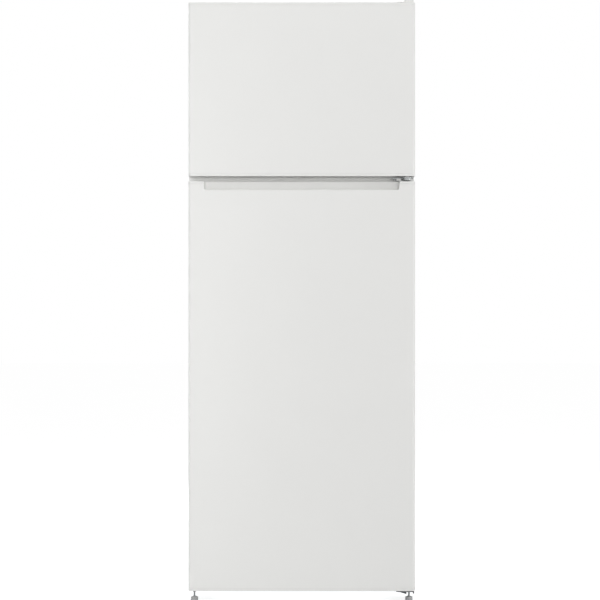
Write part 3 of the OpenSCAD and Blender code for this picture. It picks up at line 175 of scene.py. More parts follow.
class FRIDGE_PG_shapes(bpy.types.PropertyGroup):
    edge: length("Door edge", 8 * MM, "Radius of a door's upright front edges")
    back_edge: length("Back edge", 1.2 * MM, "Radius of a door's upright back edges")
    margin: length("Margin", 20 * MM, "From a door's side to the plain part of its front")
    cap_edge: length("Cap edge", 1.4 * MM, "Rounding around a door's end caps")
    cap_height: length("Cap height", 8 * MM, "Height of the cap under each door")
    seam: length("Seam", 0.35 * MM, "Groove between a door's sheet and its caps")
    recess_wall: length("Recess wall", 4 * MM, "Wall of the finger recess")
    recess_depth: length("Recess depth", 38 * MM, "From the door's front to the recess's back")
    pocket: length("Pocket", 5 * MM, "Fillet between the finger recess's channel and its ends")
    sheet: length("Sheet", 0.8 * MM, "Thickness of the steel sheet")
    fold: length("Fold", 1.6 * MM, "Outer radius of a fold in the steel sheet")
    cabinet_edge: length("Cabinet edge", 2.4 * MM, "Radius of the cabinet's two long top edges")
    front_flange: length("Front flange", 15 * MM, "Width of the cabinet sheet's fold at the front")
    rear_return: length("Rear return", 10 * MM, "Width of the cabinet sheet's fold at the back")
    liner_wall: length("Liner wall", 1.5 * MM, "Thickness of the formed liners and inner panels")
    liner_corner: length("Liner corner", 24 * MM, "Radius where a liner's back meets top and floor")
    liner_side: length("Liner side", 16 * MM, "Radius where a liner's sides meet its other walls")
    liner_mouth: length("Liner mouth", 5 * MM, "Rolled edge around a liner's mouth")
    ledge: length("Shelf ledge", 9 * MM, "How far a shelf ledge stands out from its wall")
    duct_wall: length("Duct wall", 2 * MM, "Thickness of the air duct's cover")
    rim: length("Rim", 20 * MM, "Width of the raised rim of a door's inner panel")
    gasket: length("Gasket", 16 * MM, "Width of a gasket")
    gasket_corner: length("Gasket corner", 10 * MM, "Radius of a gasket's outer corners")
    clear_wall: length("Clear wall", 2.5 * MM, "Wall of the bins, drawers and ice box")
    draft: length("Draft", 3 * MM, "How much a bin or drawer narrows from its rim to its floor")
    thread_pitch: length("Thread pitch", 1 * MM, "Pitch of the levelling feet's M6 thread")


class FRIDGE_PG_colours(bpy.types.PropertyGroup):
    steel: colour("Painted steel", "#EEEEEC", "Coil-coated sheet of the doors and cabinet")
    caps: colour("White plastic", "#EFEFED", "Hinge cover, shelf trims, housings")
    liner: colour("Liner", "#EFF1F0", "Vacuum-formed polystyrene")
    door_caps: colour("Door caps", "#EEEEEC", "Moulded caps at the ends of the doors")
    clear: colour("Clear plastic", "#FDFDFD", "Drawers, bins and ice tray")
    glass: colour("Shelf glass", "#F1F9F5", "Face of the toughened glass")
    vinyl: colour("Gasket", "#CFCFCC", "Soft PVC of the door gaskets")
    black: colour("Black paint", "#1B1C1E", "Compressor and condenser")
    phosphate: colour("Phosphated steel", "#57595C", "Bottom hinge and the feet's bracket")
    knob: colour("Foot knob", "#B4B5B5", "Nylon of the levelling feet")


class FRIDGE_PG_studio(bpy.types.PropertyGroup):
    distance: length("Camera distance", 8.0, "From the camera to the doors")
    view_width: length("View width", 1.8516, "Width seen at the doors")
    centre_x: number("Centre X", -0.0052, "Camera's place across", unit="LENGTH")
    centre_z: length("Camera height", 0.9327, "Camera's height above the floor")
    front: power("Front light", 116, "Power of the large soft light in front")
    slant: power("Slanting light", 2.5, "Power of the narrow beam on the doors' left half")
    key: power("Key light", 18, "Power of the light from the upper left")
    top: power("Top light", 18, "Power of the soft light above the doors' tops")
    right: power("Right light", 27, "Power of the light beside the cabinet's right side")
    left: power("Left light", 32, "Power of the light beside the cabinet's left side")
    rear: power("Rear light", 60, "Power of the light behind")
    surround: number("Surround", 0.30, "Brightness of the white room", min=0)


# ------------------------------------------------------------------ surfaces


def grid(points):
    """Surface of a grid of points: point (i, j) joins (i + 1, j), (i + 1, j + 1) and (i, j + 1)."""
    points = np.asarray(points, float)
    rows, columns = points.shape[:2]
    a = (np.arange(rows - 1)[:, None] * columns + np.arange(columns - 1)).reshape(-1, 1)
    faces = a + np.array([0, 1, columns + 1, columns])
    return points.reshape(-1, 3), faces.tolist()


def pierced(points, holes):
    """A grid without the cells marked in holes, an array of (rows - 1, columns - 1)."""
    points, faces = grid(points)
    return points, [face for face, hole in zip(faces, np.ravel(holes)) if not hole]


def plate(points):
    """One flat face with these points as its outline."""
    points = np.asarray(points, float)
    return points, [list(range(len(points)))]


def join(*surfaces):
    """Several surfaces as one list of points and faces."""
    points, faces, start = [], [], 0
    for p, f in surfaces:
        points.append(p)
        faces += [[start + k for k in face] for face in f]
        start += len(p)
    return np.concatenate(points), faces


def flipped(surface):
    """A surface with each face's points taken the other way round."""
    return surface[0], [f[::-1] for f in surface[1]]


def outwards(surface):
    """A closed surface with its faces turned to point out of it. Its volume is the sum over every
    face's fan of triangles of a . (b x c) / 6, which is negative where it is inside out."""
    points, faces = surface
    fans = np.array([(f[0], f[k], f[k + 1]) for f in faces for k in range(1, len(f) - 1)])
    a, b, c = (points[fans[:, k]] for k in range(3))
    return surface if (a * np.cross(b, c)).sum() > 0 else flipped(surface)


def loft(rings, ends=True):
    """Closed loops of equal count joined in order. With ends, a flat face closes the first and the
    last, and all faces point outwards."""
    rings = np.asarray(rings, float)
    skin = grid(np.concatenate([rings, rings[:, :1]], 1))
    if not ends:
        return skin
    return outwards(join(skin, plate(rings[0][::-1]), plate(rings[-1])))


def mirror_x(points):
    """Points carried to the other side of the middle: x becomes -x."""
    return np.asarray(points) * (-1, 1, 1)


def rounded(half_u, half_v, radius, centre=(0, 0), steps=6):
    """Rectangle with round corners, anticlockwise from its right side: at each corner a quarter
    circle about a centre that lies radius in from both sides."""
    radius = max(min(radius, half_u, half_v), 1e-5)
    quarter = np.linspace(0, math.pi / 2, steps + 1)
    turn = np.concatenate([quarter + k * math.pi / 2 for k in range(4)])
    side = np.repeat([[1, 1], [-1, 1], [-1, -1], [1, -1]], steps + 1, 0)
    middle = side * (np.array([half_u, half_v]) - radius) + np.array(centre)
    return middle + radius * np.stack([np.cos(turn), np.sin(turn)], 1)


def flat(loop, height):
    """A loop of (x, y) points at height z."""
    return np.insert(loop, 2, height, axis=1)


def upright(loop, depth):
    """A loop of (x, z) points at depth y."""
    return np.insert(loop, 1, depth, axis=1)


def hoop(half_x, z0, z1, radius, depth, inset=0.0):
    """Round-cornered rectangle between two heights, drawn in by inset, at depth y."""
    half_z = (z1 - z0) / 2 - inset
    return upright(rounded(half_x - inset, half_z, radius, (0, (z0 + z1) / 2)), depth)


def bar(outline, x0, x1):
    """A closed outline of (y, z) points carried straight along X."""
    return loft([np.insert(outline, 0, x, axis=1) for x in (x0, x1)])


def arc(centre, radius, start, stop, steps=6):
    """Points of a circle's arc between two angles in degrees."""
    turn = np.radians(np.linspace(start, stop, steps + 1))
    return np.array(centre) + radius * np.stack([np.cos(turn), np.sin(turn)], 1)


def filleted(points, radii, steps=6):
    """An open line with its inner corners rounded: an arc of the corner's radius touches both
    sides. It starts at radius * tan(half the turn) before the corner."""
    points = np.asarray(points, float)
    out = [points[:1]]
    for a, b, c, r in zip(points[:-2], points[1:-1], points[2:], radii):
        u, v = (b - a) / np.linalg.norm(b - a), (c - b) / np.linalg.norm(c - b)
        turn = math.acos(np.clip(u @ v, -1, 1))
        back = r * math.tan(turn / 2)
        side = math.copysign(1, u[0] * v[1] - u[1] * v[0])
        normal = side * np.array([-u[1], u[0]])
        t = np.linspace(0, turn, steps + 1)[:, None]
        out.append(b - back * u + normal * r * (1 - np.cos(t)) + u * r * np.sin(t))
    return np.concatenate(out + [points[-1:]])


def normals(line):
    """Unit normals to the left of an open line, each from the mean direction of its two sides."""
    way = np.gradient(line, axis=0)
    way = way / np.linalg.norm(way, axis=1)[:, None]
    return np.stack([-way[:, 1], way[:, 0]], 1)


def lathe(profile, centre, steps, relief=0.0, axis=2, ends=True):
    """A profile of (radius, height) turned about an axis: (r cos t, r sin t, h). relief is added
    to r and may hold one number for each point of the profile and each step."""
    turn = np.linspace(0, 2 * math.pi, steps, endpoint=False)
    profile = np.asarray(profile, float)
    r, h = np.maximum(profile[:, :1] + relief, 1e-7), profile[:, 1:]
    h = np.broadcast_to(h, (len(profile), steps))
    ring = np.stack([r * np.cos(turn), r * np.sin(turn), h], 2)
    return loft(np.roll(ring, (axis + 1) % 3, 2) + np.array(centre), ends)


def tub(lo, hi, corner, wall, draft, foot):
    """Open box as one closed shell. Its section runs from the middle of the inner floor, out and up
    the inner wall, over a round rim with a bead beneath it and down the outer wall to the middle of
    the underside. It is carried round the rounded rectangle between the two corners; draft draws it
    in towards its foot."""
    lo, hi = np.asarray(lo, float), np.asarray(hi, float)
    half, centre = (hi - lo)[:2] / 2, (hi + lo)[:2] / 2
    middle, rim, tightest = half.min() * 0.98, 1.2 * MM, 1.5 * MM
    inner = arc((draft + wall + foot, lo[2] + wall + foot), foot, 270, 180)
    over = arc((wall / 2, hi[2] - wall / 2), wall / 2, 0, 180)
    bead = np.array([[0, hi[2] - rim * 3], [draft * 0.1, hi[2] - rim * 3.6]])
    outer = arc((draft + foot, lo[2] + foot), foot, 180, 270)
    section = [[(middle, lo[2] + wall)], inner, over, bead, outer, [(middle, lo[2])]]
    return loft([
        flat(rounded(*(half - inset), max(corner - inset, tightest), centre), z)
        for inset, z in np.concatenate(section)
    ])


@contextmanager
def reshaped(mesh):
    """A mesh opened for changes, which it takes at the end."""
    shape = bmesh.new()
    shape.from_mesh(mesh)
    yield shape
    shape.to_mesh(mesh)
    shape.free()


def piece(name, surface, material, body, replaces=(), outward=None, seen_from=None,
          **edges_and_wall):
    """Makes one object from a surface, after joining points that coincide. With outward or
    seen_from given, all its faces are made to agree, and then turned so that the largest looks
    along outward or at the point seen_from."""
    mesh = bpy.data.meshes.new(name)
    mesh.from_pydata(surface[0].tolist(), [], surface[1])
    with reshaped(mesh) as shape:
        bmesh.ops.remove_doubles(shape, verts=shape.verts, dist=2e-6)
        bmesh.ops.dissolve_degenerate(shape, edges=shape.edges, dist=1e-6)
        if outward or seen_from:
            bmesh.ops.recalc_face_normals(shape, faces=shape.faces)
            largest = max(shape.faces, key=lambda face: face.calc_area())
            way = Vector(outward or seen_from)
            if seen_from:
                way -= largest.calc_center_median()
            if largest.normal.dot(way) < 0:
                bmesh.ops.reverse_faces(shape, faces=shape.faces)
    complete(name, mesh, material, body, replaces, FINISH_SLOT[material], **edges_and_wall)


def chosen_edges(mesh, chosen, degrees=30):
    """Marks with a bevel weight each edge whose two ends are both chosen and whose faces turn."""
    with reshaped(mesh) as shape:
        weight = shape.edges.layers.float.new("bevel_weight_edge")
        for edge in shape.edges:
            if all(chosen(v.co) for v in edge.verts) and len(edge.link_faces) == 2:
                edge[weight] = float(edge.calc_face_angle() > math.radians(degrees))


def complete(name, mesh, material, body, replaces, slot, thick=0.0, bevel=0.0, chosen=None,
             sharp=35, segments=2):
    """Smooth shading with edges above sharp degrees kept, then rounded edges and a wall where asked
    for, then normals weighted by area so that flat faces shade flat."""
    mesh.shade_smooth()
    mesh.set_sharp_from_angle(angle=math.radians(sharp))
    mesh.materials.append(bpy.data.materials[material])
    made = bpy.data.objects.new(name, mesh)
    bpy.context.scene.collection.objects.link(made)
    if bevel:
        if chosen:
            chosen_edges(mesh, chosen)
        edges = made.modifiers.new("edges", "BEVEL")
        edges.width, edges.segments = bevel, segments
        edges.limit_method, edges.angle_limit = "WEIGHT" if chosen else "ANGLE", math.radians(40)
        edges.use_clamp_overlap = True
        edges.harden_normals = True
        edges.miter_outer = "MITER_ARC"
    if thick:
        wall = made.modifiers.new("wall", "SOLIDIFY")
        wall.thickness, wall.offset = thick, -1
        wall.use_even_offset = True
    even = made.modifiers.new("normals", "WEIGHTED_NORMAL")
    even.keep_sharp = True
    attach(made, body)
    if replaces:
        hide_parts(*replaces)


def softened(node, width, segments=2):
    """A copy of a CAD node with its loose triangles joined, flat areas made whole faces, and its
    edges rounded."""
    source = frame["nodes"][node]
    mesh = source.data.copy()
    mesh.name = node + "_soft"
    mesh.materials.clear()
    if "custom_normal" in mesh.attributes:
        mesh.attributes.remove(mesh.attributes["custom_normal"])
    with reshaped(mesh) as shape:
        bmesh.ops.remove_doubles(shape, verts=shape.verts, dist=5e-6)
        bmesh.ops.dissolve_limit(
            shape, angle_limit=math.radians(1), verts=shape.verts, edges=shape.edges, delimit=set()
        )
    slot, material = finish_of(node)
    complete(mesh.name, mesh, material, source["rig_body"], (node,), slot, bevel=width,
             segments=segments)


# ------------------------------------------------------------------ finishes


def add(tree, kind, inputs=(), **settings):
    """Adds one node with its settings. Its inputs are given in order, or by name or number, and
    each is a value, another node's output, or a node that stands for its first output."""
    made = tree.nodes.new("ShaderNode" + kind)
    for key, value in settings.items():
        setattr(made, key, value)
    for key, value in inputs.items() if isinstance(inputs, dict) else enumerate(inputs):
        if isinstance(value, bpy.types.Node):
            value = value.outputs[0]
        if isinstance(value, bpy.types.NodeSocket):
            tree.links.new(value, made.inputs[key])
        else:
            made.inputs[key].default_value = value
    return made


def emptied(owner):
    """The node tree of a material or a world, with no nodes in it."""
    owner.use_nodes = True
    owner.node_tree.nodes.clear()
    return owner.node_tree


def new_finish(name, colour, roughness, metallic=0.0, ior=1.5, transmission=0.0):
    """A material's Principled shader, joined to its output."""
    tree = emptied(bpy.data.materials.new(name))
    shader = add(tree, "BsdfPrincipled", {
        "Base Color": colour, "Roughness": roughness, "Metallic": metallic, "IOR": ior,
        "Transmission Weight": transmission,
    })
    add(tree, "OutputMaterial", (shader,))
    return shader


def layer(shader, size=0.0, detail=2.0, ragged=0.5, stretch=(1, 1, 1), pattern=None, tones=None,
          cover=(0, 1, 0, 1), gloss=None, over=(0.3, 0.7), depth=0.0):
    """Lays one pattern over a finish: noise whose blobs are about size metres across, or a pattern
    given. The base colour goes from the first tone to the second by its value, once cover, as
    (from, to, low, high), has carried that. The roughness goes through gloss while the pattern goes
    over its range. The surface rises by a real depth in metres, on top of the layers before it."""
    tree = shader.id_data
    if pattern is None:
        where = add(tree, "Mapping", {0: add(tree, "TexCoord").outputs["Object"], "Scale": stretch})
        pattern = add(tree, "TexNoise", {
            "Vector": where, "Scale": 1 / size, "Detail": detail, "Roughness": ragged
        })
    if tones:
        amount = add(tree, "MapRange", (pattern, *cover))
        tone = add(tree, "Mix", {0: amount, 6: tones[0], 7: tones[1]}, data_type="RGBA")
        tree.links.new(tone.outputs[2], shader.inputs["Base Color"])
    if gloss:
        level = add(tree, "MapRange", (pattern, *over, *gloss))
        tree.links.new(level.outputs[0], shader.inputs["Roughness"])
    if depth:
        raised = add(tree, "Bump", {"Height": pattern, "Distance": depth, "Strength": 1.0})
        for before in shader.inputs["Normal"].links:
            tree.links.new(before.from_socket, raised.inputs["Normal"])
        tree.links.new(raised.outputs[0], shader.inputs["Normal"])


def shades(colour, low, high):
    """A linear colour made darker or lighter by two factors."""
    return [(*[min(1.0, c * amount) for c in tuple(colour)[:3]], 1.0) for amount in (low, high)]


def lit_through(shader, tint):
    """Lets lamps shine through a clear wall: their shadow rays meet a tinted Transparent shader."""
    tree, output = shader.id_data, shader.outputs[0].links[0].to_socket
    shadow = add(tree, "LightPath").outputs["Is Shadow Ray"]
    clear = add(tree, "BsdfTransparent", (tint,))
    tree.links.new(add(tree, "MixShader", (shadow, shader, clear)).outputs[0], output)


def moulded(name, colour, roughness, grain=0.5 * MM, depth=0.01 * MM, ior=1.5):
    """Moulded plastic: a spark-eroded grain, a slow change of gloss, and a slight flow cloud."""
    plastic = new_finish(name, colour, roughness, ior=ior)
    gloss = roughness - 0.04, roughness + 0.05
    layer(plastic, 50 * MM, tones=shades(colour, 0.97, 1.02), gloss=gloss)
    layer(plastic, grain, 3, depth=depth)


def make_finishes(colours):
    """Every finish of the appliance, each from what the real one is, but for the painted light on
    the middle hinge's flange.
    """
    # Coil-coated steel: a roller-laid polyester, so a soft gloss with a long, faint orange peel
    steel = new_finish("coil_coated_steel", colours.steel, 0.4)
    layer(steel, 160 * MM, 1, tones=shades(colours.steel, 0.99, 1.005), depth=0.12 * MM)
    layer(steel, 2.6 * MM, gloss=(0.37, 0.43), depth=0.012 * MM)

    # ABS covers and trims: satin from a spark-eroded tool, a touch whiter than the sheet
    moulded("moulded_abs", colours.caps, 0.46)
    # The doors' caps are moulded in the colour of the painted sheet, and duller
    moulded("door_cap_abs", colours.door_caps, 0.48)
    # Acrylic-capped polystyrene sheet, vacuum-formed: glossy, with the slow waves of hot sheet
    liner = new_finish("formed_polystyrene", colours.liner, 0.3)
    layer(liner, 1.5 * MM, depth=0.002 * MM)
    layer(liner, 120 * MM, 0, tones=shades(colours.liner, 0.994, 1.004), gloss=(0.28, 0.34),
          depth=0.03 * MM)

    # General-purpose polystyrene: clear and bright, with the sinks and flow lines of the mould
    clear = new_finish("crystal_polystyrene", colours.clear, 0.02, transmission=1.0)
    layer(clear, 30 * MM, gloss=(0.01, 0.03))
    layer(clear, 30 * MM, 0, depth=0.01 * MM)
    lit_through(clear, linear("#F7F7F7"))

    # Toughened soda-lime glass: clear faces, and ground edges that gather its green
    glass = new_finish("toughened_glass", colours.glass, 0.02, ior=1.52, transmission=0.96)
    tree = glass.id_data
    facing = add(tree, "NewGeometry").outputs["Normal"]
    rise = add(tree, "SeparateXYZ", (facing,)).outputs["Z"]
    level = add(tree, "Math", (rise,), operation="ABSOLUTE")
    edge = add(tree, "MapRange", (level, 0.6, 0.9, 1, 0))
    layer(glass, pattern=edge, tones=(colours.glass, linear("#7FBFA6")), gloss=(0.02, 0.35),
          over=(0, 1))
    lit_through(glass, linear("#F2F6F4"))

    # Plasticised PVC profile: soft and matte, with fine drag lines from the extruder
    vinyl = new_finish("gasket_pvc", colours.vinyl, 0.55, ior=1.53)
    layer(vinyl, 20 * MM, tones=shades(colours.vinyl, 0.94, 1))
    layer(vinyl, 0.8 * MM, depth=0.01 * MM)

    # Hot-dip galvanised sheet: zinc crystals, the spangle, 8 to 15 mm across, drawn at 12 mm
    sheet = new_finish("galvanised_sheet", linear("#B4B8BA"), 0.45, metallic=1.0)
    tree = sheet.id_data
    where = add(tree, "TexCoord").outputs["Object"]
    jitter = add(tree, "TexNoise", {"Vector": where, "Scale": 1 / (14 * MM)}).outputs["Color"]
    warped = add(tree, "VectorMath", (jitter, (6 * MM,) * 3, where), operation="MULTIPLY_ADD")
    crystal = add(tree, "TexVoronoi", {"Vector": warped, "Scale": 1 / (12 * MM)})
    spangle = add(tree, "SeparateColor", (crystal.outputs["Color"],))
    layer(sheet, pattern=spangle, tones=(linear("#A3A8AB"), linear("#C3C7C8")),
          gloss=(0.36, 0.52), over=(0, 1), depth=0.006 * MM)

    # Zinc plate over pressed steel, dulled by handling, with the press's rolling lines. The middle
    # hinge's flange, where it lies on the cabinet's front, is painted light: it takes the cabinet's
    # white and no metal, so that it looks lit in the gap between the doors, while the arm stays
    # zinc
    for name, lit_flange in (("zinc_plate", False), ("zinc_plate_painted_flange", True)):
        zinc = new_finish(name, linear("#B0B2B3"), 0.4, metallic=1.0)
        layer(zinc, 9 * MM, tones=(linear("#A2A5A6"), linear("#BEC0C0")), gloss=(0.34, 0.5))
        layer(zinc, 1.2 * MM, 3, stretch=(0.08, 1, 1), depth=0.008 * MM)
        if lit_flange:
            tree, plated = zinc.id_data, zinc.inputs["Base Color"].links[0].from_socket
            where = add(tree, "TexCoord").outputs["Object"]
            depth = add(tree, "SeparateXYZ", (where,)).outputs["Y"]
            face = span("middle_hinge")[1][1] - 8 * MM
            # paint masks the flange's painted light: the cabinet's white where the hinge lies on
            # the cabinet's front
            paint = add(tree, "MapRange", (depth, face - 0.5 * MM, face, 0, 1))
            layer(zinc, pattern=paint, tones=(plated, colours.steel))
            metal = add(tree, "MapRange", (paint, 0, 1, 1, 0))
            tree.links.new(metal.outputs[0], zinc.inputs["Metallic"])

    # Phosphated and oiled pressings: a dull dark grey, mottled by the bath's crystals
    dark = new_finish("phosphated_steel", colours.phosphate, 0.6, metallic=0.35)
    mottled = shades(colours.phosphate, 0.86, 1.12)
    layer(dark, 3 * MM, 4, 0.6, tones=mottled, gloss=(0.52, 0.68))
    layer(dark, 0.5 * MM, 3, depth=0.01 * MM)

    # Stove enamel on the compressor, black over a shot-blasted shell, and the condenser's coat,
    # both dusty
    for name, dull, grain in (("stove_enamel", 0.33, 1.4), ("dip_coated_wire", 0.5, 0.7)):
        black = new_finish(name, colours.black, dull)
        layer(black, 30 * MM, 4, tones=(colours.black, linear("#4A4846")),
              cover=(0.3, 0.7, 0, 0.35), gloss=(dull - 0.06, dull + 0.14))
        layer(black, grain * MM, 3, depth=0.03 * MM)

    # Filled polypropylene: black, low gloss, with a leather-like tool grain
    moulded("black_polypropylene", linear("#2A2B2D"), 0.58, grain=0.8 * MM, depth=0.03 * MM)
    # Nylon knob of the levelling foot
    moulded("nylon", colours.knob, 0.42, grain=0.7 * MM, depth=0.02 * MM, ior=1.53)
    # EPDM rubber: dull, dusty in its pores
    moulded("epdm_rubber", linear("#232323"), 0.8, grain=0.4 * MM, depth=0.03 * MM)

    # Drawn copper tube: bright where it was drawn, browned by brazing and handling
    copper = new_finish("copper_tube", linear("#C17F5A"), 0.28, metallic=1.0)
    layer(copper, 22 * MM, 4, 0.6, tones=(linear("#C98660"), linear("#7D4A35")),
          cover=(0.4, 0.7, 0, 1), gloss=(0.22, 0.45))

    # Mill-finish aluminium fins, with rolling lines
    fins = new_finish("mill_aluminium", linear("#CDD0D1"), 0.35, metallic=1.0)
    layer(fins, 1 * MM, 3, stretch=(1, 1, 0.05), gloss=(0.28, 0.46), depth=0.006 * MM)

    # Opal glass of the lamp, frosted inside
    opal = new_finish("opal_glass", linear("#F6F1E2"), 0.3, transmission=0.5)
    layer(opal, 2 * MM, gloss=(0.25, 0.4))

    # Rigid polyurethane foam: pale yellow cells about 0.4 mm wide, drawn at 1.5 mm
    foam = new_finish("blown_polyurethane", linear("#E6D9AC"), 0.95)
    tree = foam.id_data
    where = add(tree, "TexCoord").outputs["Object"]
    cells = add(tree, "TexVoronoi", {"Vector": where, "Scale": 1 / (1.5 * MM)})
    layer(foam, pattern=cells, tones=(linear("#EADFB6"), linear("#CDBB82")), depth=0.3 * MM)


SLOT_FINISH = {
    "painted_steel": "coil_coated_steel",
    "white_plastic": "moulded_abs",
    "liner_polystyrene": "formed_polystyrene",
    "clear_polystyrene": "crystal_polystyrene",
    "shelf_glass": "toughened_glass",
    "polyurethane_foam": "blown_polyurethane",
    "galvanised_steel": "galvanised_sheet",
    "black_enamel": "stove_enamel",
    "black_plastic": "black_polypropylene",
    "grommet_rubber": "epdm_rubber",
    "gasket_vinyl": "gasket_pvc",
    "copper": "copper_tube",
    "aluminium": "mill_aluminium",
    "lamp_glass": "opal_glass",
    "grey_plastic": "nylon",
}
# Nodes whose finish is not their slot's own
NODE_FINISH = {
    "condenser": "dip_coated_wire",
    "top_hinge": "zinc_plate",
    "middle_hinge": "zinc_plate_painted_flange",
    "bottom_hinge": "phosphated_steel",
    "foot_bracket": "phosphated_steel",
    "hinge_screws": "zinc_plate",
    "defrost_heater": "zinc_plate",
}
# The slot that each finish stands for, looked up for each new piece
FINISH_SLOT = {
    **{finish: slot for slot, finish in SLOT_FINISH.items()},
    "door_cap_abs": "white_plastic",
    "zinc_plate": "galvanised_steel",
}
SLOTS = {part["node"]: part["material_slot"] for part in frame["record"]["subparts"]}


def finish_of(node):
    """Slot and finish of a CAD node."""
    return SLOTS[node], NODE_FINISH.get(node, SLOT_FINISH[SLOTS[node]])


class FRIDGE_OT_finishes(bpy.types.Operator):
    """Make every finish and give each CAD node the one its slot stands for"""

    bl_idname = "fridge.finishes"
    bl_label = "Finishes"

    def execute(self, context):
        make_finishes(context.scene.fridge_colours)
        for node in SLOTS:
            for place in frame["nodes"][node].material_slots:
                place.material = bpy.data.materials[finish_of(node)[1]]
        return {"FINISHED"}


# ------------------------------------------------------------------ doors


def door_line(lo, hi, shapes, inset):
    """Half of a door's outline, from the middle of its back round the right side to the middle of
    its front, as (x, y): a tight corner at the back and a round one at the front."""
    x, y0, y1 = hi[0] - inset, lo[1] + inset, hi[1] - inset
    radii = [max(radius - inset, 0.05 * MM) for radius in (shapes.back_edge, shapes.edge)]
    return filleted([(0, y1), (x, y1), (x, y0), (0, y0)], radii, 8)


def door_sheet(door, shapes, notch=()):
    """Painted sheet. Its right edge runs from the inner panel round the back corner, along the side
    and round the front edge; it is carried up the door and mirrored, and a flat front lies between.
    A notch is the line of the finger recess's mouth, taken out of the front's top edge."""
    lo, hi = span(door + "_skin")
    panel_edge = span(door + "_liner")[1][0]
    side = filleted(
        [(panel_edge, hi[1]), (hi[0], hi[1]), (hi[0], lo[1]), (hi[0] - shapes.margin, lo[1])],
        [shapes.back_edge, shapes.edge], 10,
    )[:-1]
    right = np.stack([flat(side, z) for z in (lo[2], hi[2])])
    x = side[-1][0]
    outline = np.array([(-x, lo[2]), (x, lo[2]), (x, hi[2]), *notch, (-x, hi[2])])
    surface = join(grid(right), grid(mirror_x(right)), plate(upright(outline, lo[1])))
    piece(door + "_sheet", surface, "coil_coated_steel", door, (door + "_skin",),
          outward=(0, -1, 0), thick=shapes.sheet)


def cap_edge(z_sheet, z_end, shapes):
    """Insets and heights of an end cap's edge: from behind the sheet out through the seam's groove,
    up the side and round by a quarter circle to the flat end."""
    way, radius = math.copysign(1, z_end - z_sheet), shapes.cap_edge
    behind, seam = shapes.sheet + BEHIND, way * shapes.seam
    groove = [(behind, z_sheet - way * MM), (behind, z_sheet + seam), (0, z_sheet + 2 * seam)]
    bend = arc((radius, z_end - way * radius), radius, 180, 90 if way > 0 else 270, 4)
    return np.concatenate([groove, bend])


def end_cap(lo, hi, z_sheet, z_end, shapes):
    """A door's end cap as a closed shell, its end sunk a little inside a flat border."""
    way = math.copysign(1, z_end - z_sheet)
    border, slope, sunk = 4.5 * MM, 0.7 * MM, 0.8 * MM
    sunken = [(border, z_end), (border + slope, z_end - way * sunk)]
    rings = []
    for inset, z in np.concatenate([cap_edge(z_sheet, z_end, shapes), sunken]):
        half = door_line(lo, hi, shapes, inset)
        rings.append(flat(np.concatenate([half, half[1:-1][::-1] * (-1, 1)]), z))
    return loft(rings)


def bush(z0, z1, outer, inner, centre):
    """Hollow boss round a hinge pin, its outer edges chamfered."""
    cut = 0.4 * MM
    section = [(inner, z0), (outer - cut, z0), (outer, z0 + cut), (outer, z1 - cut),
               (outer - cut, z1), (inner, z1), (inner, z0)]
    return outwards(lathe(section, (*centre, 0), 32, ends=False))


def recess_section(front, lip_z, top_z, shapes):
    """The finger recess from the front, as (y, z): from behind the sheet over a round lip, down and
    round a channel and up its back wall."""
    wall, depth = shapes.recess_wall, shapes.recess_depth
    radius = (depth - wall) / 2
    tuck = [(front + shapes.sheet + BEHIND, lip_z + 0.1 * MM)]
    lip = arc((front + wall / 2, lip_z), wall / 2, 177, 20, 8)
    channel = arc((front + wall + radius, lip_z + wall), radius, 193, 360, 22)
    return np.concatenate([tuck, lip, channel, [(front + depth, top_z)]])


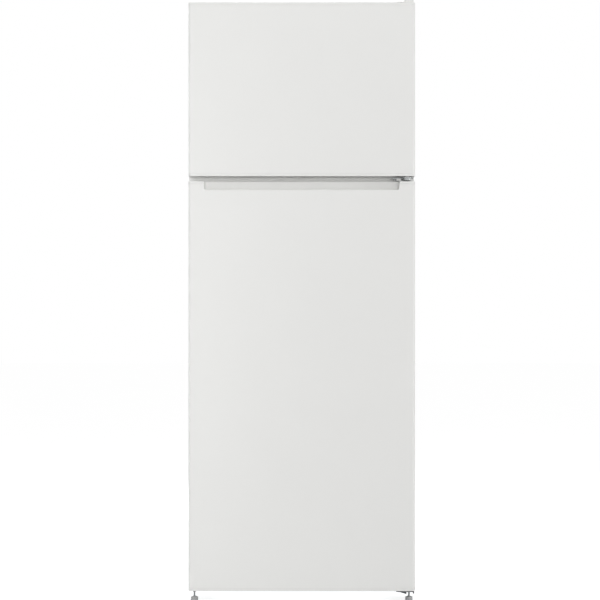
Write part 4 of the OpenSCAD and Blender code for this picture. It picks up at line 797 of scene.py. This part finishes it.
class FRIDGE_OT_doors(bpy.types.Operator):
    """Sheets and end caps of both doors, and the finger recess in the lower one"""

    bl_idname = "fridge.doors"
    bl_label = "Doors"

    def execute(self, context):
        shapes = context.scene.fridge_shapes
        self.freezer_door(shapes)
        self.collars(shapes)
        self.fridge_door(shapes)
        return {"FINISHED"}

    def freezer_door(self, shapes):
        door_sheet("freezer_door", shapes)
        lo, hi = span("freezer_door_skin")
        top = span("freezer_door_caps")[1][2]
        caps = [end_cap(lo, hi, hi[2], top, shapes),
                end_cap(lo, hi, lo[2], lo[2] - shapes.cap_height, shapes)]
        piece("freezer_door_end_caps", join(*caps), "door_cap_abs", "freezer_door",
              ("freezer_door_caps",))

    def collars(self, shapes):
        """The collar that turns on each hinge pin, under both doors. The CAD cap's lowest points
        give its radii, and its top is sunk into the cap."""
        joint = next(j for j in frame["joints"] if j["name"] == "fridge_door_hinge")
        centre, sunk = np.array(joint["pos_m"][:2]), 0.8 * MM
        for door in DOORS:
            points, _ = corners(door + "_caps")
            low, cap_end = points[:, 2].min(), span(door + "_skin")[0][2] - shapes.cap_height
            if low > cap_end - NEAR:
                continue
            away = np.hypot(*(points[points[:, 2] < low + NEAR][:, :2] - centre).T)
            piece(door + "_collar", bush(low, cap_end + sunk, away.max(), away.min(), centre),
                  "door_cap_abs", door)

    def fridge_door(self, shapes):
        """The lower door. The CAD sheet's cut-out gives the width of the recess's mouth at its lip
        and at the sheet's top edge, and so how far its ends lean and its width at the top. Of its
        cap, only the edges round the recess's top are rounded."""
        lo, hi = span("fridge_door_skin")
        top = span("fridge_door_caps")[1][2]
        points, _ = corners("fridge_door_skin")
        plain = np.abs(points[:, 0]) < hi[0] - shapes.margin
        front = points[(points[:, 1] < lo[1] + NEAR) & plain]
        lip_z = front[:, 2].min()
        half_lip = np.abs(front[front[:, 2] < lip_z + NEAR][:, 0]).max()
        half_sheet = np.abs(front[front[:, 2] > hi[2] - NEAR][:, 0]).max()
        lean = (half_sheet - half_lip) / (hi[2] - lip_z)
        half_top = half_sheet + lean * (top - hi[2])
        mouth = [(half_sheet, hi[2]), (half_lip, lip_z), (-half_lip, lip_z), (-half_sheet, hi[2])]
        door_sheet("fridge_door", shapes, notch=filleted(mouth, [shapes.pocket] * 2, 5))
        front_border, back_border = 3 * MM, 8 * MM
        piece("fridge_door_grip_cap", self.recess_cap(lo, hi, lip_z, top, half_top, lean, shapes),
              "door_cap_abs", "fridge_door", ("fridge_door_caps",), outward=(0, 0, -1),
              bevel=0.9 * MM, segments=3, chosen=lambda v: v.z > top - 0.01 * MM
              and lo[1] + front_border < v.y < hi[1] - back_border)
        piece("fridge_door_foot_cap", end_cap(lo, hi, lo[2], lo[2] - shapes.cap_height, shapes),
              "door_cap_abs", "fridge_door")

    def recess_cap(self, lo, hi, lip_z, top, half_top, lean, shapes):
        """Top cap with the recess moulded into it. The recess's section is carried across the door;
        towards each end the wall closes in along the section's normal by R (1 - cos t) while the
        end lies at x = end(z) - R (1 - sin t), so a fillet of radius R joins them. A box behind and
        below the recess closes the shell."""
        section = recess_section(lo[1], lip_z, top, shapes)
        inward = normals(section)
        inward[section[:, 0] < lo[1] + shapes.recess_wall / 2] = (0, 1)
        columns = []
        for t in np.linspace(0, math.pi / 2, 7):
            place = section + shapes.pocket * (1 - math.cos(t)) * inward
            place[-1, 1] = top
            x = half_top - lean * (top - place[:, 1]) - shapes.pocket * (1 - math.sin(t))
            columns.append(np.column_stack([x, place]))
        right = np.stack(columns, 1)
        pocket = np.concatenate([mirror_x(right[:, ::-1]), right], 1)
        box_x = half_top + shapes.recess_wall
        rows = []
        for inset, z in cap_edge(hi[2], top, shapes):
            line = door_line(lo, hi, shapes, inset)[1:]
            line[-1, 0] = half_top - lean * (top - z)
            line = np.insert(line, len(line) - 1, (box_x, line[-1, 1]), axis=0)
            rows.append(flat(np.concatenate([line[::-1], line * (-1, 1)]), z))
        rows = np.array(rows)
        cheek = np.concatenate([right[:, -1], rows[::-1, 0]])
        lid = np.concatenate([rows[-1], pocket[-1]])
        under = rows[0]
        y0, z1 = under[0][1:]
        clear = 3 * MM
        y1, z0 = lo[1] + shapes.recess_depth + clear, section[:, 1].min() - clear
        front = np.concatenate([
            [(-box_x, y0, z0), (box_x, y0, z0)], under[1::-1], pocket[0][::-1], under[:-3:-1]])
        beneath = np.concatenate([under[1:-1], [(-box_x, y1, z1), (box_x, y1, z1)]])
        side = np.array([(box_x, y0, z0), (box_x, y1, z0), (box_x, y1, z1), (box_x, y0, z1)])
        back = [(-box_x, y1, z0), (box_x, y1, z0), (box_x, y1, z1), (-box_x, y1, z1)]
        floor = [(-box_x, y0, z0), (box_x, y0, z0), (box_x, y1, z0), (-box_x, y1, z0)]
        faces = (cheek, mirror_x(cheek), lid, front, beneath, side, mirror_x(side), back, floor)
        return join(grid(pocket), grid(rows), *map(plate, faces))


# ------------------------------------------------------------------ cabinet


class FRIDGE_OT_cabinet(bpy.types.Operator):
    """Folded steel wrap of the cabinet, the rail between the doors and the rear sheet"""

    bl_idname = "fridge.cabinet"
    bl_label = "Cabinet"

    def execute(self, context):
        shapes = context.scene.fridge_shapes
        lo, hi = span("cabinet_shell")
        self.wrap(lo, hi, shapes)
        softened("centre_rail", 0.6 * MM)
        self.rear_sheet(hi, shapes)
        return {"FINISHED"}

    def wrap(self, lo, hi, shapes):
        """One sheet over both sides and the top. Its section, as (inset, y), runs from the front's
        flange round two folds to the return at the back, and each of its points becomes an arch
        from floor to floor."""
        fold, y0, y1 = shapes.fold, lo[1], hi[1]
        section = np.concatenate([
            [(shapes.front_flange, y0)], arc((fold, y0 + fold), fold, 270, 180, 5),
            [(0, y1 - fold)], arc((fold, y1 - fold), fold, 180, 90, 5),
            [(shapes.rear_return, y1)],
        ])
        rows = []
        for inset, y in section:
            radius = max(shapes.cabinet_edge - inset, 0.01 * MM)
            x, top = hi[0] - inset, hi[2] - inset
            half = filleted([(x, lo[2]), (x, top), (0, top)], [radius], 6)[:-1]
            rows.append(upright(np.concatenate([half, half[::-1] * (-1, 1)]), y))
        piece("cabinet_wrap", grid(rows), "coil_coated_steel", "cabinet", ("cabinet_shell",),
              outward=(0, 0, 1), thick=shapes.sheet)

    def rear_sheet(self, hi, shapes):
        """Galvanised rear sheet between the wrap's returns: rectangles drawn in step by step,
        across its edge and up and down a pressed stiffening bead, and two angles that close the
        foam's edges beside the machine bay."""
        gap, corner, leg = 0.4 * MM, 18 * MM, 25 * MM
        half_x, back = hi[0] - shapes.rear_return - gap, hi[1]
        z0, z1 = span("rear_panel")[0][2], hi[2] - shapes.rear_return - gap
        border, slope, crown, height = 20 * MM, 4 * MM, 6 * MM, 2 * MM
        insets = np.cumsum([0, border, slope, crown, slope, crown])
        raised = back + height * np.array([0, 0, 1, 1, 0, 0])
        bead = filleted(np.column_stack([insets, raised]), [3 * MM] * 4, 4)
        rings = [hoop(half_x, z0, z1, corner if inset > 1 * MM else 1 * MM, y, inset)
                 for inset, y in bead]
        surface = join(loft(rings, ends=False), plate(rings[-1]))
        piece("rear_sheet", surface, "galvanised_sheet", "cabinet", ("rear_panel",),
              outward=(0, 1, 0), thick=shapes.sheet)
        bay_lo, bay_hi = span("bay_lining")
        inner = bay_hi[0] - 2 * shapes.sheet
        line = [(inner, back - leg), (inner, back), (half_x, back)]
        angle = filleted(line, [shapes.fold], 5)
        strip = np.stack([flat(angle, z) for z in (bay_lo[2], z0 - gap)])
        piece("bay_edge_angles", join(flipped(grid(strip)), grid(mirror_x(strip))),
              "galvanised_sheet", "cabinet", thick=shapes.sheet)


def formed_liner(lo, hi, half_x, profile, radii, mouth, shapes):
    """Vacuum-formed compartment. Its side view, profile as (y, z), has rounded corners and is
    carried across; towards each side it closes in along its normal by R (1 - cos t) while x = half
    - R (1 - sin t), and a flat side wall fills it. A rolled edge of radius r leads from the mouth
    out to the flange: the loop grows by r (1 - cos t) while y = front + r (1 - sin t)."""
    roll, side = shapes.liner_mouth, shapes.liner_side
    line = filleted(profile, radii, 8)
    inward = normals(line)
    ends = [(0, math.copysign(1, sum(mouth) / 2 - line[k][1])) for k in (0, -1)]
    if inward[0] @ ends[0] < 0:
        inward = -inward
    inward[0], inward[-1] = ends
    columns, rings = [], []
    flange = lo[2] + 0.2 * MM, hi[2] - 0.2 * MM
    for t in np.linspace(0, math.pi / 2, 7):
        drawn = side * (1 - math.cos(t)) * inward
        columns.append(np.insert(line + drawn, 0, half_x - side * (1 - math.sin(t)), axis=1))
        grown = roll * (1 - math.cos(t))
        ring = hoop(half_x, *mouth, side + grown, lo[1] + roll * (1 - math.sin(t)), -grown)
        ring[:, 2] = np.clip(ring[:, 2], *flange)
        rings.append(ring)
    rings.append(hoop(hi[0], lo[2], hi[2], 2 * MM, lo[1]))
    right = np.stack(columns, 1)
    shell = grid(np.concatenate([mirror_x(right[:, ::-1]), right], 1))
    cheek = right[:, -1]
    return join(shell, plate(cheek), plate(mirror_x(cheek)), loft(rings, ends=False))


def ledge(side, half_x, z, y0, y1, out, thick):
    """Moulded shelf ledge: a half-round nose carried along the wall, drawn in at both ends by a
    quarter circle. Its back is sunk into the wall."""
    ease, taper, sunk = np.linspace(0, math.pi / 2, 5), 8 * MM, 0.5 * MM
    bend = arc((out - thick / 2, -thick / 2), thick / 2, 90, -90, 6)
    nose = np.concatenate([[(0, 0)], bend, [(0, -thick)]])
    way = taper * (1 - np.cos(ease))
    depths = np.concatenate([y0 + way, y1 - way[::-1]])
    grow = np.maximum(np.concatenate([np.sin(ease), np.sin(ease)[::-1]]), 0.02)
    return loft([
        upright(np.column_stack([side * (half_x + sunk - nose[:, 0] * g), z + nose[:, 1]]), y)
        for y, g in zip(depths, grow)
    ])


class FRIDGE_OT_liners(bpy.types.Operator):
    """Vacuum-formed compartments with a rolled mouth and shelf ledges, and the air duct's cover"""

    bl_idname = "fridge.liners"
    bl_label = "Compartments"

    def execute(self, context):
        shapes = context.scene.fridge_shapes
        self.compartment("fridge", shapes, stepped=True)
        self.compartment("freezer", shapes, stepped=False)
        self.air_duct(shapes)
        return {"FINISHED"}

    def compartment(self, name, shapes, stepped):
        """One compartment. The CAD liner's inner faces give its width, its depth, the heights of
        its mouth and, where it is stepped over the machine bay, the step's height and depth."""
        node = name + "_liner"
        lo, hi = span(node)
        back_lo, back_hi = reach(node, hi[1] - 3 * MM)
        half_x, rear = back_hi[0] - LINER_SOLID, hi[1] - LINER_SOLID
        inner, _ = corners(node)
        inner = inner[(np.abs(inner[:, 0]) < half_x + NEAR) & (inner[:, 1] < rear + NEAR)]
        at_front = np.abs(inner[:, 1] - lo[1]) < NEAR
        at_side = np.abs(np.abs(inner[:, 0]) - half_x) < NEAR
        edge = inner[at_front & at_side][:, 2]
        z0, z1 = edge.min(), edge.max()
        front, corner, step_corner = lo[1] + shapes.liner_mouth, shapes.liner_corner, 10 * MM
        if stepped:
            step_z = back_lo[2] + LINER_SOLID
            near = inner[(inner[:, 2] < step_z - 5 * MM) & (inner[:, 2] > z0 - NEAR)]
            step_y = near[:, 1].max()
            low = [(rear, step_z), (step_y, step_z), (step_y, z0)]
            radii = [corner, corner, step_corner, corner]
        else:
            low, radii = [(rear, z0)], [corner, corner]
        profile = [(front, z1), (rear, z1), *low, (front, z0)]
        surface = formed_liner(lo, hi, half_x, profile, radii, (z0, z1), shapes)
        piece(name + "_compartment", surface, "formed_polystyrene", "cabinet", (node,),
              thick=shapes.liner_wall, seen_from=(0, (lo[1] + rear) / 2, (z0 + z1) / 2))
        piece(name + "_shelf_ledges", join(*self.ledges(inner, half_x, shapes.ledge)),
              "formed_polystyrene", "cabinet")

    def ledges(self, inner, half_x, out):
        """Each ledge is where the CAD liner comes nearer the middle than its wall."""
        edge = inner[np.abs(np.abs(inner[:, 0]) - (half_x - out)) < NEAR]
        levels = np.unique(np.round(edge[:, 2], 4))
        made = []
        for low, high in zip(levels[0::2], levels[1::2]):
            depths = edge[(edge[:, 2] > low - NEAR) & (edge[:, 2] < high + NEAR)][:, 1]
            made += [ledge(side, half_x, high, depths.min(), depths.max(), out, high - low)
                     for side in (-1, 1)]
        return made

    def air_duct(self, shapes):
        """Cover of the air duct: a U with round front corners carried up the rear wall, drawn in by
        a quarter circle at its foot. Its outlets are the grid's cells between the CAD slots'
        corners."""
        points, _ = corners("fridge_air_duct")
        lo, hi = span("fridge_air_duct")
        slots = points[(points[:, 1] < lo[1] + NEAR) & (np.abs(points[:, 0]) < hi[0] - 3 * MM)]
        x_in, x_out = np.unique(np.round(np.abs(slots[:, 0]), 5))
        levels = np.unique(np.round(slots[:, 2], 5))
        edge, foot = 6 * MM, 4 * MM
        bend = arc((foot, lo[2] + foot), foot, 270, 180, 5)
        heights = np.concatenate([bend, [(0, z) for z in (*levels, hi[2])]])
        rows = []
        for inset, z in heights:
            half = np.concatenate([
                [(x_in, lo[1] + inset), (x_out, lo[1] + inset)],
                arc((hi[0] - edge, lo[1] + edge), edge - inset, 270, 360),
                [(hi[0] - inset, hi[1])],
            ])
            rows.append(flat(np.concatenate([half[::-1] * (-1, 1), half]), z))
        rows = np.array(rows)
        across = np.abs(rows[0, :-1, 0] + rows[0, 1:, 0]) / 2
        up = (rows[:-1, 0, 2] + rows[1:, 0, 2]) / 2
        wide = (across > x_in) & (across < x_out)
        high = np.array([((z > levels[0::2]) & (z < levels[1::2])).any() for z in up])
        duct = join(pierced(rows, high[:, None] & wide), plate(rows[0][::-1]))
        piece("fridge_air_duct_cover", duct, "moulded_abs", "cabinet", ("fridge_air_duct",),
              outward=(0, -1, 0), thick=shapes.duct_wall)


class FRIDGE_OT_door_liners(bpy.types.Operator):
    """Inner panels of the doors, with their raised rims, and the gaskets"""

    bl_idname = "fridge.door_liners"
    bl_label = "Door liners and gaskets"

    def execute(self, context):
        shapes = context.scene.fridge_shapes
        for door in DOORS:
            self.panel(door, shapes)
            self.gasket(door, shapes)
        return {"FINISHED"}

    def panel(self, door, shapes):
        """Rounded rectangles drawn in step by step: flat panel, up the rim's outer slope, over its
        round top, down the inner slope and across the middle."""
        node = door + "_liner"
        lo, hi = span(node)
        rim_lo, rim_hi = reach(node, hi[1] - NEAR)
        width, crest = shapes.rim, rim_hi[1]
        back, middle = lo[1] + LINER_SOLID, width / 2
        slope, inner_slope, run, tight, wide = 1 * MM, 0.2 * MM, 12 * MM, 3.5 * MM, 5 * MM
        outer_corner, inner_corner = 5 * MM, 6 * MM
        outer = filleted([(-6 * MM, back), (0, back), (slope, crest), (middle, crest)],
                         [3 * MM, tight])[1:]
        inner = filleted([(middle, crest), (width - inner_slope, crest), (width, back),
                          (width + run, back)], [wide, tight])[1:]
        rings = [hoop(hi[0], lo[2], hi[2], 2 * MM, back)] + [
            hoop(rim_hi[0], rim_lo[2], rim_hi[2], outer_corner if inset < middle else inner_corner,
                 y, inset)
            for inset, y in np.concatenate([outer, inner])
        ]
        piece(door + "_inner_panel", join(loft(rings, ends=False), plate(rings[-1])),
              "formed_polystyrene", door, (node,), outward=(0, 1, 0), thick=shapes.liner_wall)
        piece(door + "_bin_lugs", join(*self.lugs(door, rim_hi[0] - width, back)),
              "formed_polystyrene", door)

    def lugs(self, door, half_x, back):
        """Round pegs on the rim's inner faces that each bin hangs on."""
        radius, height, below_rim, beyond_back = 4 * MM, 0.6 * MM, 30 * MM, 14 * MM
        disc = [(0, 0), (radius, 0), (radius, height), (0, height)]
        x = half_x + 0.2 * MM
        return [
            lathe(disc, (start, back + beyond_back, hi[2] - below_rim), 20, axis=0)
            for _, hi in solids(door + "_bins") for start in (-x, x - height)
        ]

    def gasket(self, door, shapes):
        """Bellows profile with its magnet box towards the cabinet, in shares of the gasket's width
        and depth, carried round the door."""
        node = door + "_gasket"
        lo, hi = span(node)
        profile = np.array([
            (0.10, 0.00), (0.90, 0.00), (0.97, 0.10), (0.86, 0.22), (0.90, 0.30), (0.99, 0.42),
            (1.00, 0.55), (1.00, 0.92), (0.97, 0.99), (0.90, 1.00), (0.55, 0.985), (0.45, 0.985),
            (0.10, 1.00), (0.03, 0.99), (0.00, 0.92), (0.00, 0.55), (0.01, 0.42), (0.10, 0.30),
            (0.14, 0.22), (0.03, 0.10), (0.10, 0.00),
        ]) * (shapes.gasket, hi[1] - lo[1])
        rings = [
            hoop(hi[0], lo[2], hi[2], shapes.gasket_corner - inset * 0.4, lo[1] + y, inset)
            for inset, y in profile
        ]
        piece(door + "_seal", outwards(loft(rings, ends=False)), "gasket_pvc", door, (node,),
              sharp=50)


# ------------------------------------------------------------------ bins, drawers and shelves


class FRIDGE_OT_clear_parts(bpy.types.Operator):
    """Door bins, crisper drawers, ice box and the shelves' glass"""

    bl_idname = "fridge.clear_parts"
    bl_label = "Bins, drawers and shelves"

    def execute(self, context):
        shapes = context.scene.fridge_shapes
        for door in DOORS:
            self.bins(door, shapes)
        for side in ("left", "right"):
            self.pull_out(
                "crisper_drawer_" + side, shapes, lift=3.7, corner=10, foot=9, draft=1.0, grip=14,
                top=8, drop=26, lip=3, folds=(5, 1.4, 1.4, 2.2), steps=5, ends=30, runner=15,
                short=12,
            )
        self.pull_out(
            "ice_box", shapes, lift=4.7, corner=8, foot=6, draft=0.6, grip=12, top=2, drop=8,
            lip=2.4, folds=(3, 1.1, 1.1, 1), steps=4, ends=35, runner=14, short=10,
        )
        for node, edge, segments in (
            ("shelf_glass", 0.7, 2), ("shelf_trims", 1.0, 3), ("egg_tray", 0.6, 2),
            ("ice_tray", 0.5, 2), ("ice_tray_frame", 0.8, 2),
        ):
            softened(node, edge * MM, segments)
        return {"FINISHED"}

    def bins(self, door, shapes):
        """Bins of one door, each a tub with a rail behind its rim."""
        corner, foot = 14 * MM, 7 * MM
        half_depth, half_height, behind, below_rim = 1.6 * MM, 4 * MM, 1.2 * MM, 16 * MM
        made = []
        for lo, hi in solids(door + "_bins"):
            made.append(tub(lo, hi, corner, shapes.clear_wall, shapes.draft, foot))
            centre = hi[1] - shapes.clear_wall - behind, hi[2] - below_rim
            rail = rounded(half_depth, half_height, 1.5 * MM, centre, 3)
            made.append(bar(rail, lo[0] + corner, hi[0] - corner))
        piece(door + "_clear_bins", join(*made), "crystal_polystyrene", door, (door + "_bins",))

    def pull_out(self, node, shapes, lift, corner, foot, draft, grip, top, drop, lip, folds, steps,
                 ends, runner, short):
        """A drawer or box that slides: a tub lifted on two runners, with a hooked grip along its
        front. Sizes are in millimetres. The hook stands out by grip, lies top below the rim, hangs
        down by drop, is lip thick and stops ends away from each side. The runners lie runner in
        from the sides, short of the tub's ends. draft is a share of the drawers' own."""
        lo, hi = span(node)
        body = lo + (0, grip * MM, lift * MM)
        made = [tub(body, hi, corner * MM, shapes.clear_wall, shapes.draft * draft, foot * MM)]
        sunk = 1 * MM
        y0, y1, z = lo[1], body[1] + sunk, hi[2] - top * MM
        low, thick = z - drop * MM, lip * MM
        hook = filleted([(y1, z), (y0, z), (y0, low), (y0 + thick, low), (y0 + thick, z - thick),
                         (y1, z - thick)], np.array(folds) * MM, steps)
        made.append(bar(hook, lo[0] + ends * MM, hi[0] - ends * MM))
        centre, half = (hi[1] + body[1]) / 2, (hi[1] - body[1]) / 2 - short * MM
        for x in (lo[0] + runner * MM, hi[0] - runner * MM):
            outline = rounded(3 * MM, half, 2.5 * MM, (x, centre), 3)
            made.append(loft([flat(outline, z) for z in (lo[2], body[2] + sunk)]))
        piece(node + "_clear", join(*made), "crystal_polystyrene", node, (node,))


class FRIDGE_OT_fittings(bpy.types.Operator):
    """Rounded copies of the hinges, covers, brackets, housings and ducts, and the levelling feet"""

    bl_idname = "fridge.fittings"
    bl_label = "Hinges and fittings"

    def execute(self, context):
        for node, edge, segments in (
            ("top_hinge_cover", 3.6, 5), ("top_hinge", 0.5, 2), ("middle_hinge", 0.5, 2),
            ("bottom_hinge", 0.5, 2), ("foot_bracket", 0.5, 2), ("hinge_hole_plugs", 0.5, 2),
            ("control_housing", 1.6, 3), ("lamp_lens", 1.0, 2), ("freezer_air_cover", 0.8, 2),
            ("terminal_box", 1.6, 3), ("condenser_brackets", 1.0, 2), ("drip_tray", 0.8, 2),
            ("base_frame", 0.4, 2), ("thermostat_dial", 0.6, 2), ("mains_inlet", 0.6, 2),
            ("fan_motor", 0.8, 2), ("roller_left", 0.8, 2), ("roller_right", 0.8, 2),
        ):
            softened(node, edge * MM, segments)
        for side in ("left", "right"):
            self.foot("foot_" + side, context.scene.fridge_shapes)
        return {"FINISHED"}

    def foot(self, node, shapes):
        """Levelling foot. The nylon knob is turned, and its side is fluted by taking
        a (1 + cos 18 t) / 2 off its radius. The zinc stud's radius falls and rises by its thread's
        depth with z / pitch - t / (2 pi), which makes a true helix."""
        points, _ = corners(node)
        lo, hi = span(node)
        centre = (lo + hi)[:2] / 2
        away = np.hypot(*(points[:, :2] - centre).T)
        radius, stud = away.max(), away[points[:, 2] > hi[2] - NEAR].max()
        knob_top = points[away > radius - 2 * MM][:, 2].max()
        collar_top = points[away > stud + 1 * MM][:, 2].max()
        collar = away[points[:, 2] > knob_top + NEAR].max()
        edge, bead, flutes, flute_depth, steps = 1.5 * MM, 0.6 * MM, 18, 0.6 * MM, 144
        profile = np.concatenate([
            [(0, 0)], arc((radius - edge, edge), edge, 270, 360, 4),
            [(radius, z) for z in np.linspace(edge, knob_top - edge, 6)[1:-1]],
            arc((radius - edge, knob_top - edge), edge, 0, 90, 4), [(collar + 1 * MM, knob_top)],
            arc((collar - bead, collar_top - bead), bead, 0, 90, 3),
            [(stud - 0.7 * MM, collar_top)],
        ])
        from_ends = np.stack([profile[:, 1], knob_top - profile[:, 1]]) - edge / 2
        fade = np.clip(from_ends / edge, 0, 1).prod(0) * (profile[:, 0] > radius - edge)
        turn = np.linspace(0, 2 * math.pi, steps, endpoint=False)
        fluted = -flute_depth * fade[:, None] * (1 + np.cos(flutes * turn)) / 2
        piece(node + "_knob", lathe(profile, (*centre, lo[2]), steps, fluted), "nylon", node,
              (node,), sharp=50)
        thread_depth, steps = 0.55 * MM, 36
        z = np.arange(knob_top, hi[2], shapes.thread_pitch / 6)
        turn = np.linspace(0, 1, steps, endpoint=False)
        phase = (z[:, None] / shapes.thread_pitch - turn) % 1
        thread = -thread_depth * np.abs(2 * phase - 1)
        rod = np.column_stack([np.full(len(z), stud), z])
        piece(node + "_stud", lathe(rod, (*centre, 0), steps, thread), "zinc_plate", node, sharp=80)


# ------------------------------------------------------------------ stage


class FRIDGE_OT_stage(bpy.types.Operator):
    """White studio: camera, floor, room light and soft lights round the refrigerator"""

    bl_idname = "fridge.stage"
    bl_label = "Studio"

    def execute(self, context):
        scene, studio = context.scene, context.scene.fridge_studio
        front = CAD_BOX[0][1]
        self.camera(scene, studio, front)
        self.floor(scene)
        self.room(scene, studio.surround)
        unseen = {"glossy": False}
        for name, place, target, size, settings in (
            ("front", (1.2, front - 6, 1.5), (0, front, 1.1), (3.0, 0.6), unseen),
            ("slant", (-1.0, front - 3.5, 0.6), (-1.0, front, 0.6), (1.2, 2.4),
             {"spread": 30, **unseen}),
            ("key", (-2.0, front - 3.6, 3.1), (0, front, 1.2), (1.8, 1.8), {}),
            ("top", (-0.4, front - 0.7, 3.9), (0, front + 0.1, 1.8), (1.6, 0.9), unseen),
            ("right", (3.6, front - 0.8, 1.4), (0, 0, 1.0), (2.0, 2.4), {}),
            ("left", (-3.8, 1.0, 1.2), (0, 0.2, 0.8), (2.0, 2.4), {}),
            ("rear", (-1.2, 4.4, 2.2), (0, 0.3, 0.9), (2.4, 2.4), {}),
        ):
            self.soft_light(name + "_light", place, target, size, getattr(studio, name), **settings)
        scene.view_settings.view_transform = "Standard"
        return {"FINISHED"}

    def camera(self, scene, studio, front):
        """Level camera in front of the doors, whose view at their distance is view_width wide."""
        lens = bpy.data.cameras.new("camera")
        lens.sensor_width = 36
        lens.lens = lens.sensor_width * studio.distance / studio.view_width
        lens.clip_start, lens.clip_end = 0.05, 100
        made = bpy.data.objects.new("camera", lens)
        made.location = (studio.centre_x, front - studio.distance, studio.centre_z)
        made.rotation_euler = (math.radians(90), 0, 0)
        scene.collection.objects.link(made)
        scene.camera = made

    def soft_light(self, name, place, target, size, power, glossy=True, spread=180):
        """Rectangular light that looks at its target, seen in gloss or not."""
        data = bpy.data.lights.new(name, "AREA")
        data.spread = math.radians(spread)
        data.shape, data.energy = "RECTANGLE", power
        data.size, data.size_y = size
        lamp = bpy.data.objects.new(name, data)
        lamp.location = place
        lamp.rotation_euler = (Vector(target) - Vector(place)).to_track_quat("-Z", "Y").to_euler()
        lamp.visible_glossy = glossy
        bpy.context.scene.collection.objects.link(lamp)

    def seen(self, tree):
        """1 for camera, glossy and transmission rays, which meet the white background."""
        path = add(tree, "LightPath").outputs
        seen = path["Is Camera Ray"]
        for kind in ("Is Glossy Ray", "Is Transmission Ray"):
            seen = add(tree, "Math", (seen, path[kind]), operation="MAXIMUM")
        return seen

    def room(self, scene, strength):
        """World light of a given strength, white where it is seen."""
        scene.world = bpy.data.worlds.new("white_room")
        tree = emptied(scene.world)
        level = add(tree, "MapRange", (self.seen(tree), 0, 1, strength, 1))
        light = add(tree, "Background", ((1, 1, 1, 1), level))
        add(tree, "OutputWorld", (light,))

    def floor(self, scene):
        """Painted floor that keeps the shadow and is lifted to white where it is seen."""
        material = bpy.data.materials.new("studio_floor")
        tree = emptied(material)
        cloud, far = 0.5, 30.0
        where = add(tree, "TexCoord").outputs["Object"]
        patches = add(tree, "TexNoise", {"Vector": where, "Scale": 1 / cloud})
        greys = {0: patches, 6: linear("#E6E6E6"), 7: linear("#EAEAEA")}
        paint = add(tree, "Mix", greys, data_type="RGBA").outputs[2]
        lift = add(tree, "MapRange", (self.seen(tree), 0, 1, 0, 0.75))
        glow = add(tree, "Emission", ((1, 1, 1, 1), lift))
        both = add(tree, "AddShader", (add(tree, "BsdfDiffuse", (paint,)), glow))
        add(tree, "OutputMaterial", (both,))
        square = [(-far, -far, 0), (far, -far, 0), (far, far, 0), (-far, far, 0)]
        mesh = bpy.data.meshes.new("floor")
        mesh.from_pydata(square, [], [(0, 1, 2, 3)])
        mesh.materials.append(material)
        made = bpy.data.objects.new("floor", mesh)
        scene.collection.objects.link(made)


class FRIDGE_PT_panel(bpy.types.Panel):
    bl_idname = "FRIDGE_PT_panel"
    bl_label = "Refrigerator"
    bl_space_type = "VIEW_3D"
    bl_region_type = "UI"
    bl_category = "Refrigerator"

    def draw(self, context):
        for operator in OPERATORS:
            self.layout.operator(operator.bl_idname)
        for name in GROUPS:
            group, box = getattr(context.scene, name), self.layout.box()
            for value in group.__annotations__:
                box.prop(group, value)


OPERATORS = (
    FRIDGE_OT_stage, FRIDGE_OT_finishes, FRIDGE_OT_doors, FRIDGE_OT_cabinet, FRIDGE_OT_liners,
    FRIDGE_OT_door_liners, FRIDGE_OT_clear_parts, FRIDGE_OT_fittings,
)
GROUPS = {
    "fridge_shapes": FRIDGE_PG_shapes,
    "fridge_colours": FRIDGE_PG_colours,
    "fridge_studio": FRIDGE_PG_studio,
}


def register():
    for each in (*GROUPS.values(), *OPERATORS, FRIDGE_PT_panel):
        bpy.utils.register_class(each)
    for name, group in GROUPS.items():
        setattr(bpy.types.Scene, name, bpy.props.PointerProperty(type=group))


def unregister():
    for name in GROUPS:
        delattr(bpy.types.Scene, name)
    for each in (FRIDGE_PT_panel, *reversed(OPERATORS), *GROUPS.values()):
        bpy.utils.unregister_class(each)


def main():
    register()
    for operator in OPERATORS:
        group, name = operator.bl_idname.split(".")
        getattr(getattr(bpy.ops, group), name)()


if __name__ == "__main__":
    main()
